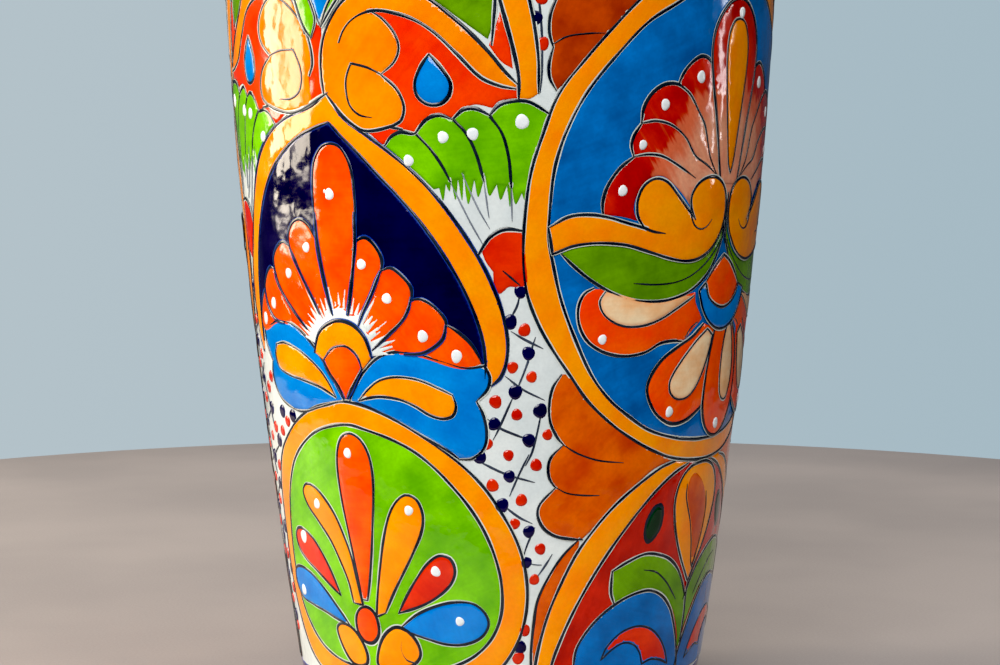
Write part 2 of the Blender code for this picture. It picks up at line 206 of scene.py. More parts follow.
def smooth_line(points, closed):
    """A line through points that turns smoothly, but keeps the points marked as corners."""
    corners = [i for i, p in enumerate(points) if len(p) > 2]
    flat = [p[:2] for p in points]
    if closed and not corners:
        return np.array(spline_part(flat, True))
    if closed:
        start = corners[0]
        flat = flat[start:] + flat[:start] + [flat[start]]
        corners = [i - start for i in corners] + [len(flat) - 1]
    else:
        corners = [0] + [i for i in corners if 0 < i < len(flat) - 1] + [len(flat) - 1]
    result = []
    for a, b in zip(corners, corners[1:]):
        part = spline_part(flat[a:b + 1], False)
        result += part if b == corners[-1] and not closed else part[:-1]
    return np.array(result)


def distance_to(points, line, closed=True):
    """Shortest distance from each point to a line."""
    start = line
    end = np.roll(line, -1, axis=0)
    if not closed:
        start, end = start[:-1], end[:-1]
    best = np.full(len(points), 1e9)
    along = end - start
    length = np.maximum((along ** 2).sum(1), 1e-9)
    for first in range(0, len(start), 256):
        a, v, q = start[first:first + 256], along[first:first + 256], length[first:first + 256]
        t = np.clip(((points[:, None] - a) * v).sum(2) / q, 0.0, 1.0)
        gap = np.linalg.norm(points[:, None] - a - t[..., None] * v, axis=2)
        best = np.minimum(best, gap.min(1))
    return best


def inside(points, line):
    """Whether each point lies within a closed line."""
    result = np.zeros(len(points), bool)
    x, y = points[:, 0], points[:, 1]
    x1, y1 = line[:, 0], line[:, 1]
    x2, y2 = np.roll(x1, -1), np.roll(y1, -1)
    for ax, ay, bx, by in zip(x1, y1, x2, y2):
        if ay == by:
            continue
        crosses = ((ay > y) != (by > y)) & (x < (bx - ax) * (y - ay) / (by - ay) + ax)
        result ^= crosses
    return result


def side_steps(line, closed):
    """Unit steps off a line, to its right, at each of its points."""
    if closed:
        along = np.roll(line, -1, axis=0) - np.roll(line, 1, axis=0)
    else:
        along = np.gradient(line, axis=0)
    along /= np.maximum(np.linalg.norm(along, axis=1), 1e-6)[:, None]
    return np.stack([along[:, 1], -along[:, 0]], 1)


def keep(x, s):
    return x, s


def mirror(x, s):
    return -x, s


def lifted(x, s):
    """Where a point of a right half lands on the left half of a medallion column."""
    reach = 1.0 - math.exp(-abs(x) / LEFT_LIFT_REACH)
    t = min(max((s - LEFT_LIFT_BOTTOM) / (LEFT_LIFT_TOP - LEFT_LIFT_BOTTOM), 0.0), 1.0)
    rise = t * t * (3.0 - 2.0 * t)
    spread = LEFT_SPREAD * rise * max(math.sin(math.pi * abs(x) / LEFT_SPREAD_REACH), 0.0)
    if abs(x) > LEFT_SPREAD_REACH:
        spread = 0.0
    return -x - math.copysign(spread, x), s + LEFT_LIFT * reach * rise


def half(side, placing=mirror):
    """How points that are drawn for the right are placed on a side."""
    return keep if side == "right" else placing


def plain(points):
    """Points without their corner marks."""
    return [p[:2] for p in points]


def polar(centre, reach, angle):
    return centre[0] + reach * math.cos(angle), centre[1] + reach * math.sin(angle)


def ellipse(x, s, rx, rs, turn=0.0):
    angles = [math.pi * i / 8 for i in range(16)]
    c, d = math.cos(turn), math.sin(turn)
    return [(x + rx * math.cos(a) * c - rs * math.sin(a) * d,
             s + rx * math.cos(a) * d + rs * math.sin(a) * c) for a in angles]


def halves(points):
    """Close half an outline with its mirror image; points on the axis are not repeated."""
    return points + [(-p[0],) + tuple(p[1:]) for p in reversed(points) if p[0]]


def set_attribute(mesh, name, values):
    """Give each point of a mesh one number or one vector."""
    kind, key = ("FLOAT", "value") if values.ndim == 1 else ("FLOAT_VECTOR", "vector")
    layer = mesh.attributes.new(name, kind, "POINT")
    layer.data.foreach_set(key, values.astype(np.float32).ravel())


class Painting:
    """Patches of glaze that become one mesh object, wrapped on to the pot.

    Its pieces of paint are drawn from the column's axis, and place puts them on one side of it.
    """

    def __init__(self, name, azimuth, place=keep, bare="halo"):
        self.name = name
        self.bare = bare
        self.azimuth = math.radians(azimuth)
        self.place = place
        self.points, self.faces, self.face_glaze = [], [], []
        self.edge, self.grade, self.flow = [], [], []
        self.glazes = []
        self.count = 0
        self.random = random.Random(name)

    def placed(self, points, shake=0.0):
        result = []
        for p in points:
            x, s = self.place(p[0], p[1])
            x += self.random.uniform(-shake, shake)
            s += self.random.uniform(-shake, shake)
            result.append((x, s) + tuple(p[2:]))
        return result

    def add(self, flat, heights, faces, glaze, edge, grade, flow_angle=0.0):
        if glaze not in self.glazes:
            self.glazes.append(glaze)
        azimuth = self.azimuth + flat[:, 0] / station_radius(flat[:, 1])
        self.points.append(on_pot(azimuth, flat[:, 1], heights))
        self.faces += [tuple(i + self.count for i in face) for face in faces]
        self.face_glaze += [self.glazes.index(glaze)] * len(faces)
        self.edge.append(edge)
        self.grade.append(grade)
        c, d = math.cos(flow_angle), math.sin(flow_angle)
        self.flow.append(np.stack([flat[:, 0] * c + flat[:, 1] * d,
                                   flat[:, 1] * c - flat[:, 0] * d,
                                   np.full(len(flat), self.azimuth * 50.0)], 1))
        self.count += len(flat)

    def fill(self, outline, glaze, level=1, grade=None, flow=0.0, shake=0.15, puddle=PUDDLE,
             grid_step=GRID_STEP):
        """A patch of glaze that swells a little inside its edge."""
        line = smooth_line(self.placed(outline, shake), True)
        steps = np.linalg.norm(line - np.roll(line, 1, axis=0), axis=1)
        line = line[steps > SHORTEST_STEP]
        ahead = np.roll(line, -1, axis=0)
        area = (line[:, 0] * ahead[:, 1] - ahead[:, 0] * line[:, 1]).sum()
        inward = side_steps(line, True) * (-1.0 if area > 0 else 1.0)
        low, high = line.min(0), line.max(0)
        rows = np.arange(low[1], high[1], grid_step * ROW_HEIGHT)
        grid = [(x + (grid_step / 2 if i % 2 else 0.0), y) for i, y in enumerate(rows)
                for x in np.arange(low[0], high[0], grid_step)]
        everything = [line]
        for points, room in ((line + inward * NEAR_ROW, NEAR_ROOM),
                             ((line + inward * FAR_ROW)[::2], FAR_ROOM),
                             (np.array(grid).reshape(-1, 2), GRID_ROOM)):
            points = points[inside(points, line)]
            everything.append(points[distance_to(points, line) > room])
        count = len(line)
        edges = [(i, (i + 1) % count) for i in range(count)]
        flat, _, faces, *_ = delaunay_2d_cdt(
            [Vector(p) for p in np.concatenate(everything)], edges, [], 1, 0.001)
        flat = np.array([tuple(p) for p in flat])
        depth = distance_to(flat, line)
        base = LEVEL_BASE + LEVEL_STEP * level
        heights = base + puddle * (1.0 - np.exp(-depth / PUDDLE_REACH))
        heights[depth < SHORTEST_STEP] = base - LEVEL_STEP
        shade = grade(flat[:, 0], flat[:, 1]) if grade else np.zeros(len(flat))
        self.add(flat, heights, faces, glaze, np.minimum(depth, EDGE_LIMIT), shade, flow)

    def ribbon(self, line, closed, reach, heights, glaze, edge):
        """A strip of faces along a line, whose points reach to either side of it."""
        rows, columns = reach.shape
        across = side_steps(line, closed)
        flat = (line[:, None] + across[:, None] * reach[..., None]).reshape(-1, 2)
        faces = []
        for i in range(rows if closed else rows - 1):
            a, b = i * columns, (i + 1) % rows * columns
            faces += [(a + k, a + k + 1, b + k + 1, b + k) for k in range(columns - 1)]
        self.add(flat, np.tile(heights, rows), faces, glaze, np.tile(edge, rows),
                 np.zeros(len(flat)))

    def stroke(self, points, width=FRAME_LINE, level=1, closed=False, taper=(0.45, 0.45),
               shake=0.1, glaze="outline"):
        """A domed brush line along points, thinner at its ends.

        Beside an outline the glazes stop a hair short, so a sliver of the white ground shows.
        """
        line = smooth_line(self.placed(points, shake), closed)
        if len(line) < 3:
            line = np.array([line[0], line.mean(0), line[-1]])
        order = np.arange(len(line))
        run = order / (len(line) - 1) * len(line)
        shape = np.ones(len(line))
        if not closed:
            start = np.clip(order / TAPER_POINTS, 0.0, 1.0)
            end = np.clip((len(line) - 1 - order) / TAPER_POINTS, 0.0, 1.0)
            shape = (taper[0] + (1 - taper[0]) * start) * (taper[1] + (1 - taper[1]) * end)
        phase = self.random.uniform(0.0, 6.0)
        reach = width / 2 * shape * (1.0 + 0.10 * np.sin(run * 0.23 + phase)
                                     + 0.06 * np.sin(run * 0.61 + 2 * phase))
        base = LEVEL_BASE + LEVEL_STEP * level
        self.ribbon(line, closed, LINE_SECTION * reach[:, None], base + LINE_RISES, glaze,
                    1.0 - np.abs(LINE_SECTION))
        if glaze != "outline":
            return
        bare = HALO * np.clip(0.55 + 0.6 * np.sin(run * 0.11 + 3 * phase), 0.0, 1.0)
        drift = 0.5 * HALO * np.sin(run * 0.17 + 5 * phase)
        sides = np.array([-1.0, 1.0])
        self.ribbon(line, closed, sides * (reach + bare)[:, None] + drift[:, None],
                    np.full(2, base - HALO_DROP), self.bare, np.full(2, 1.0))

    def strokes(self, points, cuts, width, level):
        """Brush lines along an outline, from each cut to the next."""
        for first, last in zip(cuts, cuts[1:]):
            self.stroke(points[first:last + 1], width, level)

    def outline(self, points, width, level):
        self.stroke(points, width, level, closed=True)

    def dot(self, x, s, radius=2.0, glaze="dot_white", level=3, rise=0.32, tall=1.08):
        """A blob of glaze."""
        (cx, cs), = self.placed([(x, s)], 0.1)
        lean = self.random.uniform(-0.08, 0.08)
        wave = self.random.uniform(0.0, 6.0)
        flat, heights, edge = [], [], []
        base = LEVEL_BASE + LEVEL_STEP * level
        for ring in DOT_RINGS:
            for i in range(DOT_SIDES):
                a = 2.0 * math.pi * i / DOT_SIDES
                r = radius * ring * (1.0 + 0.05 * math.sin(3 * a + wave))
                flat.append((cx + r * math.cos(a) + lean * r * math.sin(a),
                             cs + r * tall * math.sin(a)))
                heights.append(base + rise * math.sqrt(1.0 - ring * ring)
                               - (0.2 if ring == 1 else 0))
                edge.append(radius * (1.0 - ring))
        flat.append((cx, cs))
        heights.append(base + rise)
        edge.append(radius)
        faces, top = [], len(flat) - 1
        for first in range(0, top, DOT_SIDES):
            for i in range(DOT_SIDES):
                a, b = first + i, first + (i + 1) % DOT_SIDES
                faces.append((a, b, top) if first + DOT_SIDES == top
                             else (a, b, b + DOT_SIDES, a + DOT_SIDES))
        self.add(np.array(flat), np.array(heights), faces, glaze, np.array(edge),
                 np.zeros(len(flat)))

    def finish(self, slot, *nodes):
        mesh = bpy.data.meshes.new(self.name)
        mesh.from_pydata(np.concatenate(self.points).tolist(), [], self.faces)
        for glaze in self.glazes:
            mesh.materials.append(GLAZES[glaze])
        mesh.polygons.foreach_set("material_index", self.face_glaze)
        mesh.shade_smooth()
        for name, values in (("edge", self.edge), ("grade", self.grade), ("flow", self.flow)):
            set_attribute(mesh, name, np.concatenate(values))
        mesh.update()
        return add_piece(self.name, mesh, slot, *nodes)


def add_piece(name, mesh, slot, *nodes):
    piece = bpy.data.objects.new(name, mesh)
    bpy.context.scene.collection.objects.link(piece)
    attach(piece, "root")
    if nodes:
        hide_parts(*nodes)
    return piece


# ---------------------------------------------------------------- medallion columns

TEAR_OUTER = [
    (0, 227, C), (6, 219), (15, 212.8), (24, 206.5), (33, 198.8), (41, 189.8), (48.5, 178.5),
    (54.5, 167), (58.5, 155.5), (60.3, 145), (59.3, 137), (57, 131.5), (53.6, 128.6, C),
]
TEAR_INNER = [
    (0, 217.3, C), (5, 212.4), (11, 207), (18.5, 199.8), (26.5, 191.5), (34, 182.5), (41, 172),
    (46, 162.5), (49.7, 153), (51.8, 144), (52.3, 137), (51.8, 131, C),
]
WING_TOP = [(51.8, 135.2, C), (45.5, 134.8), (37, 137), (28.5, 139.4), (20.5, 139.6),
            (14, 137.2), (8.5, 132.5), (4, 126.5), (1.2, 121.8, C)]
CENTRE_PETAL = [(0, 210), (4.5, 208.3), (7.8, 203.5), (8.9, 196), (9, 187), (8.3, 177),
                (6.8, 167), (5, 157), (3.4, 149), (0, 145)]
SIDE_PETALS = [
    [(2.5, 150, C), (4.2, 158), (5.6, 167), (6.9, 174), (9.3, 177.4), (12.8, 178.2),
     (16.3, 175.5), (18.4, 171), (17.8, 166.5, C), (13.5, 159), (9.5, 152.5), (6.5, 146, C)],
    [(17.8, 167, C), (21.5, 168.2), (25.5, 165.7), (28.6, 161.5), (28.3, 157, C), (24.5, 150.5),
     (18, 144.5), (11.5, 139, C), (8.5, 145), (12, 153), (15, 160)],
    [(28.3, 157.5, C), (32, 157.8), (36.5, 155), (39.8, 150.5), (39.5, 146.5, C), (36, 142),
     (31, 139), (23, 138.5, C), (19.5, 142), (24.5, 148.5)],
    [(39.6, 149.5, C), (43, 147.5), (48, 142.5), (51.3, 136.2, C), (47, 134), (41, 134.5),
     (33, 137), (27, 138.5, C), (33, 139.5), (37, 142.5), (39.4, 146)],
]
SIDE_SEAMS = [
    [(17.8, 167), (13.5, 159), (9.5, 152.5), (7, 147.5)],
    [(28.4, 158.5), (27.3, 154.5), (24.5, 150.5), (18, 144.5), (12.5, 140)],
    [(39.8, 149.5), (38.8, 145), (36, 142), (31, 139.5), (24.5, 139)],
]
PETAL_ROOTS = [(0, 138, C), (2.5, 158), (7, 167.5), (14, 169), (18.3, 163.5), (25, 160),
               (28.6, 154), (36, 150.5), (39.6, 145.5), (44, 141), (46, 137.5, C), (33, 138),
               (20, 138.5)]
SIDE_DOTS = [(10.4, 169.2, 1.0), (19.4, 157.8, 1.0), (31.6, 145.3, 1.15), (42.8, 138.8, 1.25)]
ARC_CREST = [(6.2, 138), (2.5, 140.7), (-1, 141), (-5, 139.7)]
YELLOW_ARC = [(-13.6, 138.2, C), (-10.5, 145), (-5, 148.8), (0, 149.7), (5.5, 148.3),
              (9.7, 144.3), (12.2, 137.6, C), (8, 133, C)] + ARC_CREST + [(-9, 135.6, C)]
ARC_DROP = [(0, 122.6, C), (3.5, 127.5), (7, 132.2), (8, 133.8, C)] + ARC_CREST + [
    (-9.2, 135.8, C), (-6.5, 131), (-3, 127)]

FEATHER_CENTRE = (-0.5, 136.5)
FEATHER_TIPS = 26
FEATHER_START, FEATHER_END = math.radians(7), math.radians(158)
FEATHER_ROOT = 10.0


def feather(rng):
    """A ragged fan: spikes of paint that radiate from a centre, tallest in its middle."""
    def reach(angle):
        return 24.0 + 2.0 * math.sin(angle) ** 2

    points = []
    sweep = FEATHER_END - FEATHER_START
    for i in range(FEATHER_TIPS + 1):
        a = FEATHER_START + sweep * i / FEATHER_TIPS
        tip = reach(a) * rng.uniform(0.82, 1.22)
        lean = rng.uniform(-0.25, 0.25) * sweep / FEATHER_TIPS
        points.append(polar(FEATHER_CENTRE, tip, a + lean) + (C,))
        if i < FEATHER_TIPS:
            b = FEATHER_START + sweep * (i + rng.uniform(0.35, 0.65)) / FEATHER_TIPS
            notch = reach(b) * rng.uniform(0.58, 0.74)
            points.append(polar(FEATHER_CENTRE, notch, b) + (C,))
    return points + [polar(FEATHER_CENTRE, FEATHER_ROOT, angle) + (C,)
                     for angle in (FEATHER_END, FEATHER_START)]


def across(points):
    """Points from the axis outwards on the right, led in by the same points on the left half."""
    return [lifted(p[0], p[1]) + tuple(p[2:]) for p in reversed(points[1:])] + points


def teardrop_half(art):
    """Outlines of one half, with its four side petals."""
    art.fill(PETAL_ROOTS, "orange", 1.72, puddle=0.0)
    for i, petal in enumerate(SIDE_PETALS):
        art.fill(petal, "orange", 2, flow=-0.3 - 0.3 * i, puddle=FULL_PUDDLE)
    for border in (TEAR_OUTER, TEAR_INNER):
        art.stroke(border, FRAME_LINE, 1.6)
    for petal, first, last in zip(SIDE_PETALS, (3, 0, 0, 0), (9, 5, 5, 4)):
        art.stroke(petal[first:last], HEAVY_LINE, 2.4)
    for seam in SIDE_SEAMS:
        art.stroke(seam, FRAME_LINE, 4.2)
    for x, s, tall in SIDE_DOTS:
        art.dot(x, s, tall=tall)


def teardrop(prefix, azimuth):
    """The pointed navy medallion with its orange palmette."""
    art = Painting(prefix + "_teardrop_glaze", azimuth, bare="navy_rim")
    art.fill(across(TEAR_OUTER) + across(TEAR_INNER)[::-1], "yellow", 1, flow=-0.7)
    field = TEAR_INNER[:-1] + WING_TOP
    art.fill(across(field) + [(0, 121.8, C)], "navy", 0.6)
    for place in (keep, lifted):
        art.place = place
        teardrop_half(art)
    art.place = keep
    art.fill(halves(CENTRE_PETAL), "orange", 2.1, puddle=FULL_PUDDLE)
    art.fill(feather(art.random), "white", 3.7, shake=0.0, puddle=0.05)
    for sign in (1, -1):
        art.stroke([(sign * 3.4, 151.5), (sign * 5, 158), (sign * 6.8, 167), (sign * 8.3, 177),
                    (sign * 8.9, 187)], HEAVY_LINE, 4.2)
    art.stroke([(-9, 180), (-9.2, 190), (-8.9, 197), (-7.5, 204), (-4, 208.8), (0, 210),
                (4.2, 208.8), (7.6, 204), (9, 197), (9.2, 188), (8.7, 180)], FRAME_LINE, 2.5)
    art.fill(YELLOW_ARC, "yellow", 4.6)
    art.fill(ARC_DROP, "orange", 4.6)
    art.stroke(YELLOW_ARC[:7], HEAVY_LINE, 5.1)
    art.stroke([(-9.2, 135.6)] + ARC_CREST[::-1] + [(8, 133.4)], FINE_LINE, 5.1)
    art.stroke([(-9.4, 135.6), (-6.5, 131), (-3, 127), (-0.6, 122.8)], HEAVY_LINE, 5.1)
    art.stroke([(8, 133.8), (6.8, 132), (3.5, 127.5), (0.6, 122.8)], HEAVY_LINE, 5.1)
    art.dot(-1.2, 193, 2.1)
    for dx, ds in ((-1.9, 0.9), (-1.2, -1.1)):
        art.dot(-1.2 + dx, 193 + ds, 0.7)
    art.finish("navy_glaze", prefix + "_teardrop")


def wing(prefix, side, azimuth):
    """A blue wing with a yellow inlay."""
    art = Painting(f"{prefix}_{side}_wing_glaze", azimuth, half(side))
    if side == "right":
        outline = [(1.2, 121.8, C), (4, 126.5), (8.5, 132.5), (14, 137.2), (20.5, 139.6),
                   (28.5, 139.4), (37, 137), (45.5, 134.8), (51.8, 135.4, C), (53.3, 131.5),
                   (52.3, 127.5), (48.4, 123.4, C), (50.3, 118.5), (51, 112), (49.5, 107),
                   (45.5, 103.8), (41, 103.4, C), (36.5, 106.8), (29, 111), (21, 115.3),
                   (12, 119.2), (5, 121.2)]
        inlay = [(5.2, 122.2, C), (9.5, 126.5), (14.5, 129.8), (21, 131), (29, 130.3), (36, 127.6),
                 (40.4, 125.4, C), (41.3, 121.5), (40, 118.3), (36.5, 117.3), (32, 118.5),
                 (27, 121.3), (21.5, 123.4), (14.5, 124.2), (9, 123.4)]
    else:
        outline = [(1.2, 121.8, C), (4.8, 127.9), (11.5, 137.2), (18.7, 143.8), (26.5, 147.7),
                   (35, 148.5), (42.4, 146.7), (46, 146), (49.5, 145.6, C), (49, 141),
                   (46.5, 136.5), (43.8, 133.4, C), (44.8, 129), (43, 124.3), (39.5, 120.8),
                   (35, 118.6), (30, 117.2, C), (25, 116.8), (20, 117.2), (15, 118.6), (10, 120),
                   (5, 121.2)]
        inlay = [(4.6, 122.8, C), (8, 128), (12.1, 132.4), (18, 136.3), (24, 138.9), (32, 140.6),
                 (38.8, 140, C), (40, 135.5), (37.4, 131.4), (30, 129.4), (20.4, 128),
                 (12.3, 126.2), (7.5, 124.2)]
    art.fill(outline, "blue", 1.6, flow=-0.3)
    art.fill(inlay, "yellow", 2.4, flow=-1.2)
    art.strokes(outline + outline[:1], (0, 11, 16, len(outline)), FRAME_LINE, 2.1)
    art.stroke(inlay[:7], FINE_LINE, 2.9)
    art.stroke(inlay[6:] + inlay[:1], FRAME_LINE, 2.9)
    art.finish("blue_glaze", f"{prefix}_{side}_wing")


def green_oval(prefix, azimuth):
    """The green medallion with a seven-petalled tulip spray."""
    art = Painting(prefix + "_green_oval_glaze", azimuth)
    outer = [
        (0, 121.6), (12, 119.2), (21.5, 115.2), (31.5, 109.2), (41, 101.8), (48.3, 94), (54.3, 84),
        (58.4, 74), (60.2, 64), (60, 54), (57.5, 44), (53.5, 36), (47.5, 28.5), (38, 23),
        (26, 20.7), (0, 20.3), (-24, 20.7), (-31, 23.5), (-37.5, 28.5), (-43, 36), (-47.5, 46),
        (-50, 58), (-50.5, 70), (-50, 82), (-48, 92), (-44, 100), (-38.5, 105.5), (-28.5, 113),
        (-18.5, 118), (-10, 120.5),
    ]
    field = [
        (0, 113.5), (7, 112.2), (16.5, 109.7), (25, 105.8), (32, 100.3), (38.6, 93), (43.6, 86),
        (47.6, 78), (50.4, 69), (51.6, 60), (50.8, 50), (47.6, 42), (42.6, 36), (36, 31.6),
        (27, 28.3), (14, 26.6), (0, 26.2), (-14, 27.2), (-24, 30.5), (-32, 36), (-38, 43),
        (-42, 52), (-43.5, 62), (-43, 72), (-41, 82), (-38, 90), (-33, 98), (-26, 104.5),
        (-17, 110), (-8, 112.8),
    ]
    art.fill(outer, "yellow", 1, flow=0.4)
    art.fill(field, "green", 1.8, flow=0.5, puddle=0.1)
    art.outline(outer, FRAME_LINE, 1.7)
    art.outline(field, FRAME_LINE, 2.3)
    petals = [
        ("orange", 0.0, (-1.5, 103.7, 1.9), [
            (0, 110.5), (4.6, 108.6), (7.6, 103.5), (8.5, 96.5), (8, 88), (6.6, 78), (5, 68),
            (3.2, 58), (1.6, 51.5, C), (-0.6, 51.5, C), (-1.6, 58), (-3, 67), (-4.6, 77), (-6, 87),
            (-6.9, 97), (-6.3, 104), (-3.8, 109)]),
        ("yellow", 0.45, (-19.7, 83.8, 1.9), [
            (-0.6, 49.5, C), (-2.2, 57), (-4, 66), (-6.5, 73), (-10.5, 81), (-16, 87), (-21, 90),
            (-26, 90.3), (-28.3, 87.5), (-26, 83), (-20, 77.6), (-14, 71.5), (-9.5, 64),
            (-6.5, 57), (-5, 49.8, C)]),
        ("yellow", -0.4, (21.6, 85, 1.8), [
            (5, 46, C), (6.3, 54), (8.3, 64), (10.8, 74), (13.5, 82), (16.7, 87.3), (20.6, 90.3),
            (24.6, 89), (26.6, 84), (25.6, 78), (21.8, 70), (17, 62), (12.5, 54.5),
            (8.8, 47.5, C)]),
        ("red", 0.9, (-31.4, 70.4, 2.4), [
            (-11, 51.5, C), (-14, 57.5), (-18.5, 64.5), (-24.5, 70.5), (-31, 73.3), (-36, 73),
            (-38, 70), (-36.5, 66), (-31, 62.3), (-24, 59), (-17, 55)]),
        ("red", -0.75, (29.4, 64, 1.9), [
            (14, 48, C), (17.5, 54), (21.5, 60), (26.5, 66.2), (31, 69.5), (34.8, 68.6),
            (36.2, 64.5), (34.5, 59.8), (29.5, 55), (23, 51.3)]),
        ("blue", 1.2, (-36, 50, 2.1), [
            (-8, 41, C), (-13, 46.5), (-20.5, 53), (-28.5, 57.3), (-36.5, 58.7), (-42.5, 57),
            (-42.8, 52), (-37.5, 47), (-30, 45.7), (-21, 44.3), (-14, 42.5)]),
        ("blue", -1.3, (36.3, 46.6, 1.7), [
            (14, 42.5, C), (21, 48), (29, 51.8), (36, 53.3), (41.5, 52.8), (45.3, 49.5),
            (46, 45.5), (43.3, 41), (37.5, 38.4), (31, 38), (23.5, 39.6), (17.5, 41.3)]),
        ("yellow", 0.5, None, [
            (-15, 39), (-12.5, 41.3), (-7, 40.3), (-3, 36.3), (-1, 31), (-2, 27.6), (-8, 27.2),
            (-12.5, 32)]),
        ("yellow", -0.5, None, [
            (3.6, 28), (4.4, 34), (7.5, 39.5), (12, 42.7), (16.5, 42), (20, 38), (20.8, 33.5),
            (18.5, 30.3), (14, 28), (9, 27.2)]),
    ]
    for glaze, flow, dot, shape in petals:
        art.fill(shape, glaze, 2.7, flow=flow, puddle=FULL_PUDDLE)
        corners = [i for i, p in enumerate(shape) if len(p) > 2]
        if corners:
            art.stroke(shape[corners[-1]:] + shape[:corners[-1] + 1], FRAME_LINE, 3.1)
        else:
            art.outline(shape, HEAVY_LINE, 3.1)
        if dot:
            art.dot(dot[0], dot[1], dot[2], level=3.5)
    centre = ellipse(0.4, 42.4, 5.0, 6.6)
    art.fill(centre, "orange", 3.0, puddle=0.25)
    art.outline(centre, HEAVY_LINE, 3.4)
    art.stroke([(14.2, 38), (13.7, 34.6), (15.4, 31.4), (18.4, 30.4)], FRAME_LINE, 3.2)
    art.finish("green_glaze", prefix + "_green_oval")


def scroll_field(prefix, side, azimuth):
    """Orange field under a yellow arch, with a double scroll, a blue drop and an upright band."""
    art = Painting(f"{prefix}_{side}_scroll_field_glaze", azimuth, half(side, lifted))
    left_edge = [(-1.2, 226.5, C), (-2, 233), (-1.6, 241), (0.8, 248), (4.5, 253.5), (9, 257.8),
                 (14, 260.3), (22, 261.8), (31, 261), (39, 257.5), (46, 252.2), (53, 246),
                 (59.5, 239), (64, 233.4), (68, 229, C)]
    if side == "left":
        left_edge[:6] = [(5.5, 229.5, C), (4.2, 234.5), (4.8, 241), (7, 247), (9.5, 252),
                         (12, 256.5)]
    inner_arch = [(67.5, 227.3), (62, 228.4), (56, 231.3), (48.5, 239), (41, 246.3), (34, 250.5),
                  (26, 253)]
    bottom = [(68.3, 224.5, C), (62, 223.6), (59.5, 221.2, C), (54, 222.2), (50, 221),
              (46.6, 218, C), (41, 219.2), (37, 217.3), (33, 213.1, C), (29, 213.8), (25.5, 211.5),
              (21, 209.2, C), (17, 212.5, C), (10, 217.5), (4, 222.5)]
    upper_lobe = [(19, 253.6, C), (23.5, 250.8), (27.5, 246), (28.8, 241), (27, 236.5),
                  (22, 232.6, C)]
    lower_lobe = [(22, 232.6, C), (27.3, 227.7), (29.6, 222), (28.6, 217.5), (25.5, 215.6, C),
                  (20, 214.3), (14.5, 214.2), (10, 216.3), (5.5, 220.3)]
    band = [(68.3, 224, C), (68.6, 231), (67.5, 239), (65.5, 248), (63.3, 257), (61, 267, C),
            (65.6, 269.4), (70.5, 268, C), (73, 257), (74.8, 246), (75.4, 236), (75, 226, C),
            (72, 224.3)]
    leaf = [(59, 243.5, C), (61.3, 250), (61.8, 258), (60, 266, C), (50, 265), (41, 262.3),
            (36.5, 259.6, C), (42, 256.3), (49, 250.8)]
    drop = [(39.3, 239, C), (36, 234.5), (33.9, 229.5), (34.6, 225.3), (38, 222.7), (42.3, 222.7),
            (45.3, 225.3), (46, 229.5), (43.2, 234.3)]
    art.fill([(0.8, 227, C), (0.8, 248.5, C)] + left_edge[5:] + bottom if side == "left"
             else left_edge + bottom, "vermilion", 1, flow=0.8)
    art.fill([(59.3, 241.5, C), (62, 248), (63.6, 253, C), (66, 243), (66.9, 234, C), (63, 236.5)],
             "vermilion", 0.9)
    # The corner leaf's olive glaze is partly its own tone and partly painted shade near the top of
    # the pot
    art.fill(leaf, "olive_and_shade", 0.9, flow=0.5)
    art.fill(left_edge + inner_arch + upper_lobe + lower_lobe[1:], "gold", 1.8, flow=0.9)
    art.fill(band, "yellow", 1.5)
    art.fill(drop, "blue", 2, flow=0.2, puddle=FULL_PUDDLE)
    for line in (drop + drop[:1], left_edge):
        art.stroke(line, HEAVY_LINE, 2.4)
    arch_start = [(6.2, 243.5), (8.2, 247.2), (11, 250.2), (15, 252.5), (20, 253.6)]
    art.stroke(arch_start + inner_arch[::-1], FRAME_LINE, 2.5, taper=(1.0, 0.5))
    art.stroke([(9.8, 249.2), (11.6, 250.8)], HEAVY_LINE, 2.5)
    art.stroke(upper_lobe, FINE_LINE, 2.5)
    art.stroke(lower_lobe + [(-0.5, 227)], FRAME_LINE, 2.5)
    art.stroke([(22, 232.6), (17, 235), (10.8, 236.6, C), (8.7, 232), (8.3, 227.5), (9.5, 222.7),
                (13, 219.4), (18, 218.3)], FRAME_LINE, 2.5, taper=(0.5, 0.3))
    for join in ([(10.2, 235.4), (11.6, 236.9)], [(24, 215.2), (29, 214.3)]):
        art.stroke(join, HEAVY_LINE, 2.5)
    art.stroke(band[:6], HEAVY_LINE, 2.2)
    art.stroke(band[7:12], FRAME_LINE, 2.2)
    art.stroke(band[5:8], FRAME_LINE, 2.2)
    art.stroke(leaf[6:2:-1], FINE_LINE, 1.7)
    art.stroke([(60.2, 241.5)] + leaf[1:4], FRAME_LINE, 1.9)
    art.finish("orange_glaze", f"{prefix}_{side}_scroll_field")


